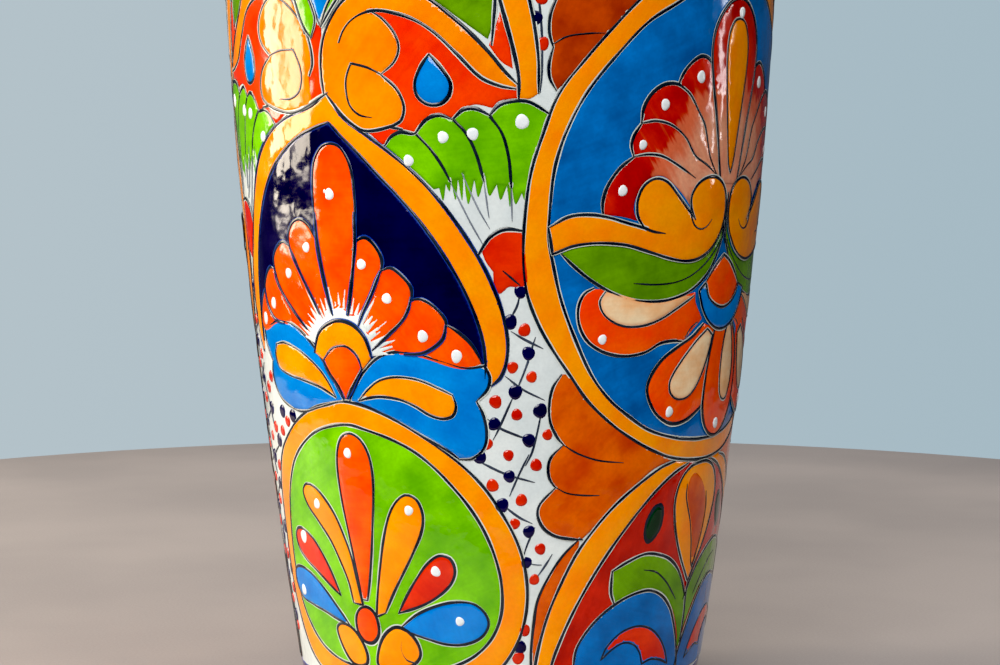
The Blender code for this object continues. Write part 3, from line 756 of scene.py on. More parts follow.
def top_bud(prefix, azimuth):
    """A blue bud between green leaves, above the apex of the medallion."""
    art = Painting(prefix + "_top_bud_glaze", azimuth)
    petal = [(-1.5, 250, C), (2, 256), (6, 263), (8, 270), (6.5, 277), (0, 283.2, C),
             (-6.5, 277.5), (-8.5, 271), (-7.5, 263.5), (-4.5, 256.5)]
    left_leaf = [(-5.5, 245.5, C), (-3.5, 252), (-6, 259), (-9, 266), (-12.5, 273.5, C),
                 (-14.5, 266), (-12, 257), (-9, 250)]
    right_leaf = [(-1, 249, C), (2.5, 253.5), (7.5, 259.5), (12, 266), (13.5, 273.5, C),
                  (9.5, 268), (5, 260.5), (1.5, 255)]
    art.fill(petal, "blue", 2.6, puddle=FULL_PUDDLE)
    art.fill(left_leaf, "green", 4.0, flow=0.2)
    art.fill(right_leaf, "green", 4.0, flow=-0.3)
    art.stroke(petal + petal[:1], HEAVY_LINE, 3.3)
    for leaf in (left_leaf, right_leaf):
        art.stroke(leaf + leaf[:1], FRAME_LINE, 4.6)
    art.dot(0, 274.5, 1.9, level=4.0)
    art.finish("blue_glaze", prefix + "_top_bud")


def green_fan(prefix, side, medallion, oval):
    """Green leaves with a feathered hem, over a red half disc, beside a medallion column."""
    step = abs(math.radians((oval - medallion + 180.0) % 360.0 - 180.0))
    art = Painting(f"{prefix}_{side}_green_fan_glaze", medallion, half(side, lifted))

    def by_oval(x, s):
        return step * body_radius(s) - x, s

    crown = [(22, 209, C), (24.3, 212), (28, 213.5), (32.5, 212.8), (33.5, 213.4, C), (37, 217.3),
             (41.6, 219), (46.2, 217.6, C), (50, 220.7), (54, 221), (58.5, 218.8, C), (62, 222.2),
             (67, 223.6), (72, 223)]
    right = [by_oval(79.3, 219.5) + (C,), by_oval(81, 211), by_oval(83.2, 203), by_oval(84.4, 194),
             by_oval(84.6, 190.5) + (C,)]
    hem = []
    x = right[-1][0] - 0.6
    while x > 40.0:
        share = (x - 39.0) / 32.0
        low = 193.5 - 3.0 * share
        hem.append((x, low - art.random.uniform(-1.0, 4.0)))
        hem.append((x - art.random.uniform(0.6, 1.1), low + art.random.uniform(1.5, 8.0), C))
        x -= art.random.uniform(1.6, 3.8)
    left = [(38.5, 194.5, C), (34, 199), (28, 204.3)]
    art.fill(crown + right + hem + left, "green", 1, flow=0.1, shake=0.0)
    disc = [(53.4, 174, C), (56.6, 178.3), (61.5, 180.9), (68.2, 180.2, C), (68.4, 172),
            (68.6, 165), (67, 160.8, C), (62, 162), (58.5, 159.8), (57, 163), (56.8, 167, C),
            (54.5, 170.5)]
    art.fill(disc, "red", 1.1, flow=0.2)
    art.stroke([(52.3, 172.8), (56.4, 178.5), (61.5, 181.3), (68, 180.6)], HEAVY_LINE, 1.7)
    art.stroke([(60, 167.5), (65.5, 162.5)], FRAME_LINE, 1.7)
    art.strokes(crown + right[:1], (0, 4, 7, 10, len(crown)), HEAVY_LINE, 1.6)
    veins = [
        [(33.5, 212.8), (38.5, 207.5), (42, 202), (44.2, 197), (50, 184), (54, 176)],
        [(46.5, 217.3), (50.5, 213), (53.5, 206), (55.5, 197), (56.6, 185)],
        [(58.5, 218.6), (62.3, 213), (64, 205), (64.4, 195), (64.2, 184)],
    ]
    for vein in veins:
        art.stroke(vein[:4], HEAVY_LINE, 1.6, taper=(1.0, 0.4))
        art.stroke(vein[3:], GREY_LINE, 1.3, glaze="thin_line")
    art.stroke([(48.3, 200), (53, 188.5), (56.5, 181.5)], GREY_LINE, 1.3, glaze="thin_line")
    for x, s, radius in ((30.3, 204, 1.9), (42.6, 211.7, 2.0), (52.6, 212.8, 2.1),
                         (69.1, 216.7, 2.5)):
        art.dot(x, s, radius, level=2)
    art.finish("green_glaze", f"{prefix}_{side}_green_fan")


# ---------------------------------------------------------------- oval columns

# The red washes out within a squashed circle round the palmette's root, over a soft rim
WASH_ROOT = (-1.5, 190.0)
WASH_REACH = 41.0
WASH_RIM = 13.0
WASH_SQUASH = 0.92


def wash(x, s):
    """How far the palmette's red is washed out towards its root, with ragged brush ends."""
    dx, ds = x - WASH_ROOT[0], s - WASH_ROOT[1]
    angle = np.arctan2(ds, dx)
    ragged = (1.2 * np.sin(9 * angle + 1.0) + 0.9 * np.sin(23 * angle + 2.0)
              + 0.6 * np.sin(61 * angle))
    return np.clip((WASH_REACH + ragged - np.hypot(dx, ds * WASH_SQUASH)) / WASH_RIM, 0.0, 1.0)


def oval_frame(art):
    """Yellow frame and blue field of the big oval."""
    outer = [(0, 277), (20, 274.5), (35, 268), (48, 259), (58.5, 248.5), (68.5, 237), (76.5, 226),
             (81, 212), (83.7, 200), (84.5, 187), (84, 172), (81.5, 160), (77, 150), (71, 141),
             (63.5, 131.5), (56.5, 123), (46.5, 114.5), (36.5, 108.5), (26.5, 103.8), (16.5, 100.8),
             (0, 99.2)]
    field = [(0, 268.5), (12, 267.3), (24, 263), (34, 257.3), (45.8, 250.3), (56, 240.3),
             (66.5, 227), (72.8, 214), (75.8, 202), (76.5, 190), (75.8, 178), (73.5, 169),
             (69.5, 157), (63, 143.5), (56, 131.5), (48.5, 123.3), (40.5, 117.3), (31, 112),
             (19, 108.4), (8, 106.9), (0, 106.6)]
    art.fill(halves(outer), "yellow", 1, flow=1.2)
    art.fill(halves(field), "deep_blue", 1.8, flow=0.4, puddle=0.1)
    art.outline(halves(outer), FRAME_LINE, 1.7)
    art.outline(halves(field), FRAME_LINE, 2.3)


def oval_palmette(art):
    """The dark red palmette, washed out to salmon at its root."""
    petals = [
        [(-14.5, 236.5, C), (-18, 239.5), (-22, 239.8), (-27, 236.8), (-30.5, 232.5),
         (-31.5, 229.8, C), (-26, 227), (-21, 221.5), (-17, 216.5, C), (-13, 206), (-7.5, 199, C),
         (-8.5, 208), (-10.5, 220), (-13, 230)],
        [(-27.5, 228, C), (-32, 230.2), (-37.5, 229.8), (-42.5, 226.8), (-45.5, 222),
         (-46, 216.8, C), (-40, 217.5), (-33, 216.2), (-26, 212), (-21, 206.3, C), (-14, 203),
         (-9, 200, C), (-13, 208), (-17, 217), (-22, 223.5)],
        [(-46, 216.5, C), (-48.6, 212.5), (-49.3, 209), (-48, 205.5, C), (-42, 206.3), (-36, 205.7),
         (-28, 202.3), (-20, 198.5, C), (-12, 199.5, C), (-17, 203), (-21.5, 207), (-27, 212.8),
         (-34, 216.6), (-40, 218)],
        [(-48, 205.5, C), (-53, 201.5), (-57, 195.5), (-58.2, 190), (-57.8, 185.8, C), (-50, 185),
         (-44, 183.5, C), (-46, 188), (-45, 193), (-41, 197.8), (-36, 198.8), (-31, 196.5),
         (-25, 192), (-20, 187, C), (-22, 193), (-20.5, 198.7, C), (-28, 202.3), (-36, 205.7),
         (-42, 206.5)],
    ]
    dots = [(-21, 233, 2.2), (-36.7, 223.2, 2.0), (-44.8, 209.5, 1.7), (-51.2, 194, 1.9)]
    art.fill(ellipse(0, 198, 28, 13), "palmette", 2.2, grade=wash, grid_step=FINE_GRID)
    for place in (keep, mirror):
        art.place = place
        for petal in petals:
            art.fill(petal, "palmette", 2.6, grade=lambda x, s: wash(-np.abs(x), s), flow=-0.9,
                     shake=0.0, grid_step=FINE_GRID)
        for petal, last in zip(petals, (6, 6, 4, 5)):
            art.stroke(petal[:last], HEAVY_LINE, 3.2)
        for petal, first, last in zip(petals, (5, 5, 3), (11, 12, 8)):
            art.stroke(plain(petal[first:last]), FINE_LINE, 3.3)
        for x, s, radius in dots:
            art.dot(x, s, radius, level=3.5)
    art.place = keep
    centre = halves([(0, 261), (6, 259.5), (11.5, 255), (15, 248.5), (15.8, 241), (14, 231),
                     (11.5, 222), (9, 212), (7, 203), (5.5, 196.5, C)])
    inset = halves([(0, 254), (3.5, 253), (6.3, 249), (7.3, 243), (6.8, 235), (5.3, 225),
                    (3.5, 214), (1.5, 204), (0, 200.5, C)])
    art.fill(centre, "palmette", 3.7, grade=wash, flow=1.5, grid_step=FINE_GRID)
    art.fill(inset, "yellow", 4.9, flow=1.5)
    art.stroke(centre[10:] + centre[:10], HEAVY_LINE, 4.2)
    art.outline(inset, FINE_LINE, 5.3)
    art.dot(1.2, 256.2, 2.0, level=5.0)


def oval_scrolls(art):
    """Yellow wings that end in scrolls, over green leaves."""
    wing_line = [
        (-76.3, 181.8, C), (-70, 185.3), (-63, 186.2), (-56, 185.2), (-48, 183.2),
        (-41.5, 181.5, C), (-44.5, 185.5), (-45.3, 191), (-43, 196), (-38.5, 198.2), (-33.5, 197),
        (-28.5, 193), (-23, 188), (-18.5, 184.3, C), (-21, 188.5), (-21.5, 192.5), (-18.5, 196.8),
        (-13, 199), (-7.5, 198.6), (-3, 195.5), (-1.3, 190.5), (-1.5, 185), (-3.5, 179.5),
        (-8, 174.5), (-14, 171.3), (-21, 170), (-29, 171), (-38, 173.3), (-48, 175.8), (-58, 176.5),
        (-67, 175.7), (-74.3, 173, C)]
    leaf = [(0, 192, C), (-1.5, 184), (-3.5, 178.5), (-8, 173.8), (-14, 170.8), (-21, 169.6),
            (-29, 170.7), (-38, 173), (-48, 175.5), (-58, 176.2), (-66, 175.5), (-71.5, 173.2, C),
            (-66, 168.5), (-60, 164), (-52, 159.7), (-44, 157.2), (-35, 156.3), (-27, 157),
            (-19, 159.2), (-12, 163), (-7, 167.5), (-3.5, 173), (-1.2, 178, C)]
    for place in (keep, mirror):
        art.place = place
        # The leaves' olive glaze is partly its own tone and partly painted shade
        art.fill(leaf, "olive_and_shade", 2.7, flow=0.3)
        art.fill(wing_line, "yellow", 5.0, flow=0.1)
        art.stroke(wing_line[:6] + [(-38, 180.3), (-32.5, 179.6)], FRAME_LINE, 5.7)
        art.strokes(wing_line, (5, 13, 23), FRAME_LINE, 5.5)
        art.stroke([(-21.5, 190), (-21.4, 187), (-19, 182.6), (-15.5, 181), (-12, 182),
                    (-9.5, 184.5)], FINE_LINE, 5.7)
        art.stroke(wing_line[22:] + wing_line[:1], FRAME_LINE, 5.5)
        art.stroke(leaf[11:] + leaf[:1], FRAME_LINE, 3.3)
        art.stroke([(-44, 162.7), (-35, 162.2), (-26, 162.8), (-18, 165), (-10, 169.5),
                    (-4.5, 174.5), (-2.5, 177.5)], FINE_LINE, 3.3)
    art.place = keep
    art.stroke([(0, 194), (-0.6, 188), (-0.2, 181), (0.4, 176)], FRAME_LINE, 5.8)


def oval_root(art):
    """Orange crescents and petals under the leaves, around a drop and a blue arc."""
    crescent = [
        (-58.5, 161.5, C), (-62, 159.5), (-63.5, 154.5), (-62.3, 148.5), (-58.5, 143), (-52, 139.3),
        (-44, 138), (-36, 139), (-30, 141.8), (-24, 142.5), (-19, 142), (-14, 146), (-9, 149.5, C),
        (-14, 156), (-14.5, 159.5, C), (-22, 158), (-30, 156.2), (-38, 156.6), (-46, 158.3),
        (-54, 161)]
    crescent_inset = [
        (-54, 160.5, C), (-56, 157), (-54.5, 153), (-50.5, 149.8), (-45, 148.2), (-38, 148.3),
        (-31, 150.3), (-24, 153.8), (-15.5, 158, C), (-22, 157.8), (-30, 156.3), (-38, 156.6),
        (-46, 158.5)]
    petal = [
        (-8.5, 148, C), (-14, 143.8), (-21, 140.5), (-28, 136.5), (-32.5, 131), (-33.8, 126),
        (-31, 120), (-26.5, 115.8), (-20.5, 113.5), (-14, 114), (-7.5, 117), (-2.8, 120.5, C),
        (-2.5, 130), (-1.5, 140), (-1, 146, C)]
    petal_inset = [
        (-6, 146, C), (-12.5, 141.5), (-19.5, 134.8), (-23.8, 128.5), (-23.3, 124.5), (-19.5, 122),
        (-14, 122.4), (-9.5, 126.3), (-5, 134.5), (-2.3, 143.5, C)]
    middle = [
        (-1, 146, C), (-3, 137), (-4.3, 127), (-4.2, 118), (-1.5, 111.5), (3, 108), (8.5, 107.4),
        (14.5, 110.5), (19, 117), (20.8, 125), (20.3, 133), (17.5, 141), (13, 147.5, C)]
    middle_inset = [
        (8, 147, C), (6.2, 140), (5.8, 131), (6.8, 123.5), (9.5, 120.2), (13, 120.2), (15.8, 125),
        (16.5, 132), (14.5, 140), (11.5, 147, C)]

    def mirror_about(axis):
        return lambda x, s: (2.0 * axis - x, s)

    for place in (keep, mirror_about(2.0)):
        art.place = place
        art.fill(crescent, "orange", 2.7, flow=0.2)
        art.fill(crescent_inset, "cream", 3.8)
        art.stroke(crescent[:11], FRAME_LINE, 3.3)
        art.stroke([(-18, 143.5), (-15.5, 147), (-12, 148.7)], FINE_LINE, 3.4)
        art.stroke(crescent_inset[:9], FINE_LINE, 4.2)
        art.dot(-53.7, 144, 1.7, level=3.9)
    for place in (mirror_about(9.0), keep):
        art.place = place
        art.fill(petal, "orange", 3.9, flow=0.8)
        art.fill(petal_inset, "cream", 5.1)
        art.stroke(petal[:12], HEAVY_LINE, 4.4)
        art.outline(petal_inset, FINE_LINE, 5.5)
        art.dot(-22.7, 117.7, 1.9, level=5.0)
    art.place = keep
    art.fill(middle, "orange", 5.0, flow=1.4)
    art.fill(middle_inset, "cream", 6.2)
    art.stroke(middle, HEAVY_LINE, 5.5)
    art.outline(middle_inset, FINE_LINE, 6.6)
    art.dot(6.6, 111.7, 2.0, level=6.1)
    drop = [(0.5, 172, C), (-5, 168), (-10, 162.5, C), (-7.5, 157.5), (-3, 154.5), (2, 153.5),
            (8, 154.7), (12.5, 158.3), (14.5, 161.5, C), (10, 166), (5, 170)]
    arc = [(-13.5, 159.5, C), (-10.3, 153), (-6, 148.5), (0, 146), (6, 146), (12, 148.5),
           (17, 153.5), (20, 160, C), (14.5, 161.5, C), (12.5, 158), (8, 154.6), (2, 153.4),
           (-3, 154.5), (-7.5, 157.5), (-10, 162.5, C)]
    art.fill(drop, "orange", 5.3)
    art.fill(arc, "blue", 6.3)
    art.outline(arc, FRAME_LINE, 6.8)
    art.stroke(drop[8:] + drop[:3], FRAME_LINE, 6.1)


def blue_oval(prefix, azimuth):
    """The big oval: its frame, the palmette, the scrolled wings and their root."""
    art = Painting(prefix + "_blue_oval_glaze", azimuth)
    oval_frame(art)
    oval_palmette(art)
    oval_scrolls(art)
    oval_root(art)
    art.finish("blue_glaze", prefix + "_blue_oval")


def red_medallion(prefix, azimuth):
    """The red medallion below the big oval, with a yellow petal, green leaves and blue scrolls."""
    art = Painting(prefix + "_red_medallion_glaze", azimuth)
    outer = [(-16, 99.6, C), (-22, 98.3), (-28, 95.5), (-35.5, 90.8), (-42.5, 85), (-48.5, 78),
             (-53.5, 70), (-57.5, 60), (-60.5, 50), (-62.2, 40), (-62.7, 30), (-61.5, 20.7, C)]
    inner = [(-8, 98.6, C), (-16, 95.3), (-23, 90.8), (-29.5, 85), (-35.5, 78), (-41.5, 69.5),
             (-47, 60), (-51.5, 50), (-55, 40), (-57, 30), (-56.5, 20.7, C)]
    crescent = [(-53, 75.5, C), (-58.5, 69.5), (-62.5, 62), (-65.2, 54), (-65.5, 46), (-65, 36),
                (-63.5, 26), (-62.8, 20.7, C)] + outer[:5:-1]
    leaf = [(-39.2, 62.7, C), (-33, 65.5), (-26, 67.5), (-20, 67), (-13, 64.5), (-7, 60), (-3, 55),
            (-0.5, 50.5), (1.2, 48, C), (1.2, 27, C), (-1, 33), (-4, 40), (-8.3, 46.5), (-14, 51.5),
            (-21, 54), (-28, 53.8), (-33, 52), (-36.5, 50.5, C), (-38.5, 55)]
    scroll = [(-49, 29, C), (-48.7, 36), (-45.5, 42.5), (-40.5, 47.8), (-34, 51.8), (-27.5, 53.8),
              (-21, 54), (-14.5, 51.3), (-9, 46), (-4.8, 39), (-1.5, 31.5), (0.5, 25),
              (0.5, 20.7, C), (-45, 20.7, C)]
    scroll_inset = [(-39, 31, C), (-37, 36), (-32, 40.3), (-25.5, 41.8), (-19, 40.3), (-13, 36),
                    (-8.5, 30.5), (-6, 25.2, C), (-11, 27.5), (-16, 28.5), (-20.5, 27.5, C),
                    (-22.5, 32), (-26, 35.3), (-30.5, 36.3), (-35, 34.3)]
    for place in (keep, mirror):
        art.place = place
        art.fill(crescent, "amber", 1)
        art.stroke(crescent[:8], FRAME_LINE, 1.5)
        art.fill(outer + inner[::-1], "yellow", 1.2, flow=1.2)
        art.fill(inner + [(0.6, 20.7, C), (0.6, 99.2, C)], "dark_red", 0.9, flow=1.4)
        for border in (outer, inner):
            art.stroke(border, FRAME_LINE, 1.9)
        # The leaf's olive glaze is partly its own tone and partly painted shade
        art.fill(leaf, "olive_and_shade", 2, flow=-0.6)
        art.fill(scroll, "deep_blue", 2.3, flow=-0.3)
        art.fill(scroll_inset, "red", 2.9)
        art.stroke(leaf[:9], FRAME_LINE, 2.7)
        art.stroke([(-39.2, 62.7), (-38.5, 55), (-36.5, 50.5)], FRAME_LINE, 2.7)
        art.stroke(scroll[:13], FRAME_LINE, 2.9)
        art.stroke([(-25.5, 62), (-19.5, 60.5), (-13.5, 56.5), (-9, 52), (-6.2, 49)],
                   FINE_LINE, 2.7)
        art.outline(scroll_inset, FINE_LINE, 3.3)
        art.fill(ellipse(-23.3, 78.3, 4.8, 8, turn=-0.3), "outline", 1.5)
        art.fill(ellipse(-23.3, 78.3, 3.4, 6.2, turn=-0.3), "seed", 2.2)
    art.place = keep
    petal = [(-1.5, 98), (-7, 96.8), (-11.8, 92.5), (-13.8, 86), (-13, 79), (-10.5, 72),
             (-6.5, 64.5), (-2, 58), (0.8, 54.5, C), (4, 60), (9, 67), (13, 75), (15.3, 83),
             (14.5, 90), (10.5, 95.5), (4.5, 98)]
    inset = [(-3.5, 95), (-7, 93), (-8, 89), (-6.5, 84), (-3, 76.5), (-0.5, 69), (1, 61.5),
             (2.2, 59.5, C), (4.5, 65), (7, 73), (7.8, 81), (6, 87), (2, 92)]
    art.fill(petal, "yellow", 2.8, flow=1.4)
    art.fill(inset, "amber", 3.4, flow=1.4)
    art.outline(petal, FRAME_LINE, 3.4)
    art.stroke([(-8, 91), (-7.6, 86), (-3, 76.5), (-0.5, 69), (1, 62), (2.2, 59.5, C), (4.5, 65),
                (7, 73), (7.8, 81), (6.4, 87)], FINE_LINE, 3.8)
    art.stroke([(1.1, 56), (0.6, 50), (1.2, 42), (1, 32)], FRAME_LINE, 3.2)
    art.finish("red_glaze", prefix + "_red_medallion")


def scallops(prefix, side, azimuth):
    """Burnt-orange scallops outside the big oval, below its waist and above it; the upper ones are
    darkened as painted shade.
    """
    lower = [(66.8, 132.5, C), (69.3, 128), (70, 122), (68.8, 116), (65.8, 110.5), (63.3, 108.2, C),
             (66.8, 104.5), (67.8, 101), (66.8, 96.5), (64.3, 93.5, C), (68.8, 88), (69.3, 84),
             (66.8, 79.5), (62, 76.3), (56, 75.0), (52.2, 74.8, C), (45.6, 81.2), (35.2, 91.2),
             (26, 97.6), (13, 101.2, C), (26.6, 104.5), (36, 109.4), (45.8, 115.3), (55.8, 123.8),
             (63, 132.2, C)]
    art = Painting(f"{prefix}_{side}_lower_scallops_glaze", azimuth, half(side))
    art.fill(lower, "amber", 0.9, flow=0.8)
    art.strokes(lower, (0, 5, 9, 15), FRAME_LINE, 1.5)
    art.stroke([(63.3, 108.2), (58, 105), (50, 102.3), (40, 101)], FINE_LINE, 1.5)
    art.stroke([(64.3, 93.5), (60, 91.3), (54, 90.3), (48, 90)], FINE_LINE, 1.5)
    art.finish("amber_glaze", f"{prefix}_{side}_lower_scallops")

    upper = [(77.5, 227, C), (80, 231), (80.5, 236), (79.5, 241, C), (81, 246), (81, 252),
             (79, 258), (78, 262, C), (74, 268), (66, 272), (57, 271), (48, 266, C),
             (42.5, 262.5, C), (48.5, 257.5), (58.5, 247.5), (68, 236.5)]
    art = Painting(f"{prefix}_{side}_upper_scallops_glaze", azimuth, half(side))
    # The upper scallops take the amber glaze darkened, as painted shade for the top of the pot
    art.fill(upper, "amber_painted_shade", 0.9, flow=1.2)
    art.strokes(upper, (0, 3, 7, 12), FRAME_LINE, 1.5)
    art.stroke([(79.8, 242), (75, 244.5), (68, 245.8), (62, 246)], FINE_LINE, 1.5)
    art.stroke([(78, 262), (70, 261)], FINE_LINE, 1.5)
    art.finish("amber_glaze", f"{prefix}_{side}_upper_scallops")


# ---------------------------------------------------------------- gaps, shoulder and neck

def lattice(prefix, side, azimuth):
    """Navy and red dots strung on fine lines, in the white gap between two columns."""
    art = Painting(f"{prefix}_{side}_gap_dots", azimuth, half(side))
    navy = [(-9, 160.5), (-12.5, 150.2), (-6, 139.6), (-10, 126.5), (-1.5, 120), (-17, 115.5),
            (-5.3, 109.8), (-21.5, 104), (-11.5, 97.5), (-14, 87.5), (-4.5, 78.2), (-5.2, 67.3),
            (-6.5, 37.2), (-5.5, 250.5)]
    red = [(-7.5, 147.5), (-11.3, 134.8), (-4.7, 131.5), (-16.8, 123.2), (-9.5, 118.7),
           (1.3, 111.8), (-19.2, 108.8), (-12, 104.8), (-2.6, 101.3), (-17.2, 94.4),
           (-7.3, 89.2), (-9.3, 81), (-0.3, 72), (-2.2, 61.2), (-5, 43.2), (-7, 33.3),
           (-3, 242.3), (-3.5, 257)]
    if side == "left":
        navy += [(-11, 71), (-12.5, 55.5), (-4, 53), (-29, 115.4), (-37.5, 114.2)]
        red += [(-14, 64), (-8.5, 60.5), (-10.5, 48), (-21.5, 127.5), (-26.5, 108), (-32.5, 112)]
    lines = [
        [(-9, 160), (-10.5, 155.5), (-12.5, 151)], [(-12.5, 147.5), (-7, 144.5), (-1, 141.5)],
        [(-3.5, 145.5), (-5, 141), (-7, 135), (-10, 127)], [(-14, 132), (-8, 127.5), (0, 124)],
        [(-11, 125), (-16, 113), (-17, 110)], [(-1.5, 120), (-2, 113), (-4, 106), (-6, 101)],
        [(-19, 117), (-15, 114.5), (-9, 111.5), (-5, 110)], [(-22, 103), (-13, 98.5), (-3, 95)],
        [(-5, 105), (-8, 98), (-11.5, 91)], [(-14, 88), (-8, 83.5), (-3, 81)],
        [(-2.5, 80), (-5.2, 73), (-6, 69)], [(-5, 67), (-2.5, 66.4), (0, 66)],
        [(-6, 66), (-4.5, 60), (-4.8, 50)], [(4, 70.5), (1.5, 66), (-1, 62)],
        [(-3.8, 226), (-3.2, 236), (-3.5, 246), (-4.5, 258)],
    ]
    for line in lines:
        art.stroke(line, LATTICE_LINE, 0.3, taper=(0.3, 0.3), shake=0.4, glaze="lattice_line")
    for x, s in navy:
        art.dot(x, s, art.random.uniform(2.0, 2.5), "dot_navy", level=0.9, rise=0.2)
    for x, s in red:
        art.dot(x, s, art.random.uniform(1.8, 2.2), "dot_red", level=0.9, rise=0.15)
    art.finish("white_glaze")


SHOULDER_RADIUS = 97.0
SHOULDER_PETALS = 20
NECK_LEAVES = 16


def shoulder_band():
    """Yellow band, petals, dots and a green band round the shoulder."""
    art = Painting("shoulder_band_glaze", 0.0)

    def ring(s, width, glaze, level):
        turn = math.pi * float(station_radius(s))
        points = [(-turn + 2 * turn * i / 48, s + 0.5 * math.sin(0.8 * i)) for i in range(49)]
        art.stroke(points, width, level, taper=(1.0, 1.0), shake=0.0, glaze=glaze)

    ring(289.5, 8.0, "yellow", 1.0)
    ring(285.2, FRAME_LINE, "outline", 1.6)
    ring(293.8, FRAME_LINE, "outline", 1.6)
    count = SHOULDER_PETALS
    for i in range(count):
        azimuth = 2.0 * math.pi * (i + 0.5) / count
        art.azimuth = azimuth - math.pi
        wide = math.pi * SHOULDER_RADIUS / count
        petal = halves([(0, 327, C), (-wide * 0.42, 321), (-wide * 0.72, 313), (-wide * 0.86, 304),
                        (-wide * 0.90, 296, C)])
        inset = halves([(0, 319, C), (-wide * 0.36, 311), (-wide * 0.45, 303),
                        (-wide * 0.42, 297, C)])
        art.fill(petal, ("orange", "blue")[i % 2], 1.0, flow=1.5)
        art.fill(inset, ("yellow", "light_blue")[i % 2], 1.8, flow=1.5)
        art.stroke(petal[4::-1] + petal[:4:-1], HEAVY_LINE, 1.7)
        art.stroke(inset[3::-1] + inset[:3:-1], FINE_LINE, 2.3)
        art.dot(0, 303.5, 1.8, level=2.4)
        art.azimuth += math.pi / count
        art.dot(0, 322, 1.9, ("dot_navy", "dot_red")[i % 2], level=0.9)
        art.dot(0, 330.5, 1.5, ("dot_red", "dot_navy")[i % 2], level=0.9)
    art.azimuth = 0.0
    ring(338.5, 6.0, "green", 1.0)
    ring(335.3, FRAME_LINE, "outline", 1.6)
    ring(341.7, FRAME_LINE, "outline", 1.6)
    art.finish("white_glaze")


def neck_strokes():
    """Upright blue strokes and red dots round the neck."""
    art = Painting("neck_strokes_glaze", 0.0)
    count = NECK_LEAVES
    low, high = NECK_STATION + 3.5, TOP_STATION - 7.0
    leaf = halves([(0, low, C), (-2.6, low + 5), (-2.4, high - 5), (0, high, C)])
    for i in range(count):
        art.azimuth = 2.0 * math.pi * (i + 0.5) / count - math.pi
        art.fill(leaf, "blue", 1.0, flow=1.5)
        art.outline(leaf, FINE_LINE, 1.6)
        art.azimuth += math.pi / count
        art.dot(0, (low + high) / 2, 1.6, "dot_red", level=0.9)
    art.finish("white_glaze")


# ---------------------------------------------------------------- materials

GLAZE_IOR = 1.47

# Scales of the noise in a glaze, per millimetre: blotches, brush streaks, fine grain and ripples
BLOTCH_SCALE = 0.075
BRUSH_SCALE = (0.05, 0.55, 0.3)
FINE_SCALE = 0.9
RIPPLE_SCALE = 0.05
SMALL_RIPPLE_SCALE = 0.16
RIPPLE_STRENGTH = 0.75
RIPPLE_DEPTH = 0.0012

# How far the noise swings a glaze from its pooled tone to its thin tone, and its dark grain
TONE_SWING = 0.16
GRAIN_AMOUNT = 0.12
GRAIN_SHADE = 0.8


def rgb(red, green, blue):
    """A screen colour, 0 to 255, as linear values."""
    def linear(v):
        v /= 255.0
        return v / 12.92 if v <= 0.04045 else ((v + 0.055) / 1.055) ** 2.4
    return linear(red), linear(green), linear(blue), 1.0


class Shader:
    """A small helper that adds nodes to one material or world and wires them by name."""

    def __init__(self, owner):
        self.owner = owner
        owner.use_nodes = True
        self.nodes = owner.node_tree.nodes
        self.links = owner.node_tree.links
        self.surface = self.nodes.get("Principled BSDF")

    def set(self, node, name, value):
        socket = node.inputs[name]
        if isinstance(value, bpy.types.NodeSocket):
            self.links.new(value, socket)
        else:
            socket.default_value = value

    def add(self, kind, inputs=None, **settings):
        node = self.nodes.new("ShaderNode" + kind)
        for key, value in settings.items():
            setattr(node, key, value)
        for key, value in (inputs or {}).items():
            self.set(node, key, value)
        return node

    def attribute(self, name):
        return self.add("Attribute", attribute_name=name)

    def stretched(self, vector, scale):
        return self.add("Mapping", {"Vector": vector, "Scale": scale}).outputs["Vector"]

    def noise(self, vector, scale, detail=2.0, roughness=0.5):
        return self.add("TexNoise", {"Vector": vector, "Scale": scale, "Detail": detail,
                                     "Roughness": roughness}).outputs["Fac"]

    def remap(self, value, low, high, to_low=0.0, to_high=1.0):
        return self.add("MapRange", {"Value": value, "From Min": low, "From Max": high,
                                     "To Min": to_low, "To Max": to_high},
                        interpolation_type="SMOOTHSTEP").outputs["Result"]

    def mix(self, factor, a, b):
        node = self.add("Mix", data_type="RGBA", clamp_factor=True)
        self.set(node, 0, factor)
        self.set(node, 6, a)
        self.set(node, 7, b)
        return node.outputs[2]

    def math(self, operation, a, b):
        node = self.add("Math", operation=operation)
        self.set(node, 0, a)
        self.set(node, 1, b)
        return node.outputs[0]

    def plus(self, a, b):
        return self.math("ADD", a, b)

    def times(self, a, b):
        return self.math("MULTIPLY", a, b)

    def unsteady(self, value, noise, amount):
        """A value that a noise, which is 0.5 on average, moves up and down."""
        return self.plus(value, self.times(self.math("SUBTRACT", noise, 0.5), amount))

    def bump(self, height, strength, distance):
        return self.add("Bump", {"Height": height, "Strength": strength,
                                 "Distance": distance}).outputs["Normal"]

    def finish(self, colour, roughness, normal):
        for name, value in (("Base Color", colour), ("Roughness", roughness), ("Normal", normal)):
            self.set(self.surface, name, value)
        return self.owner


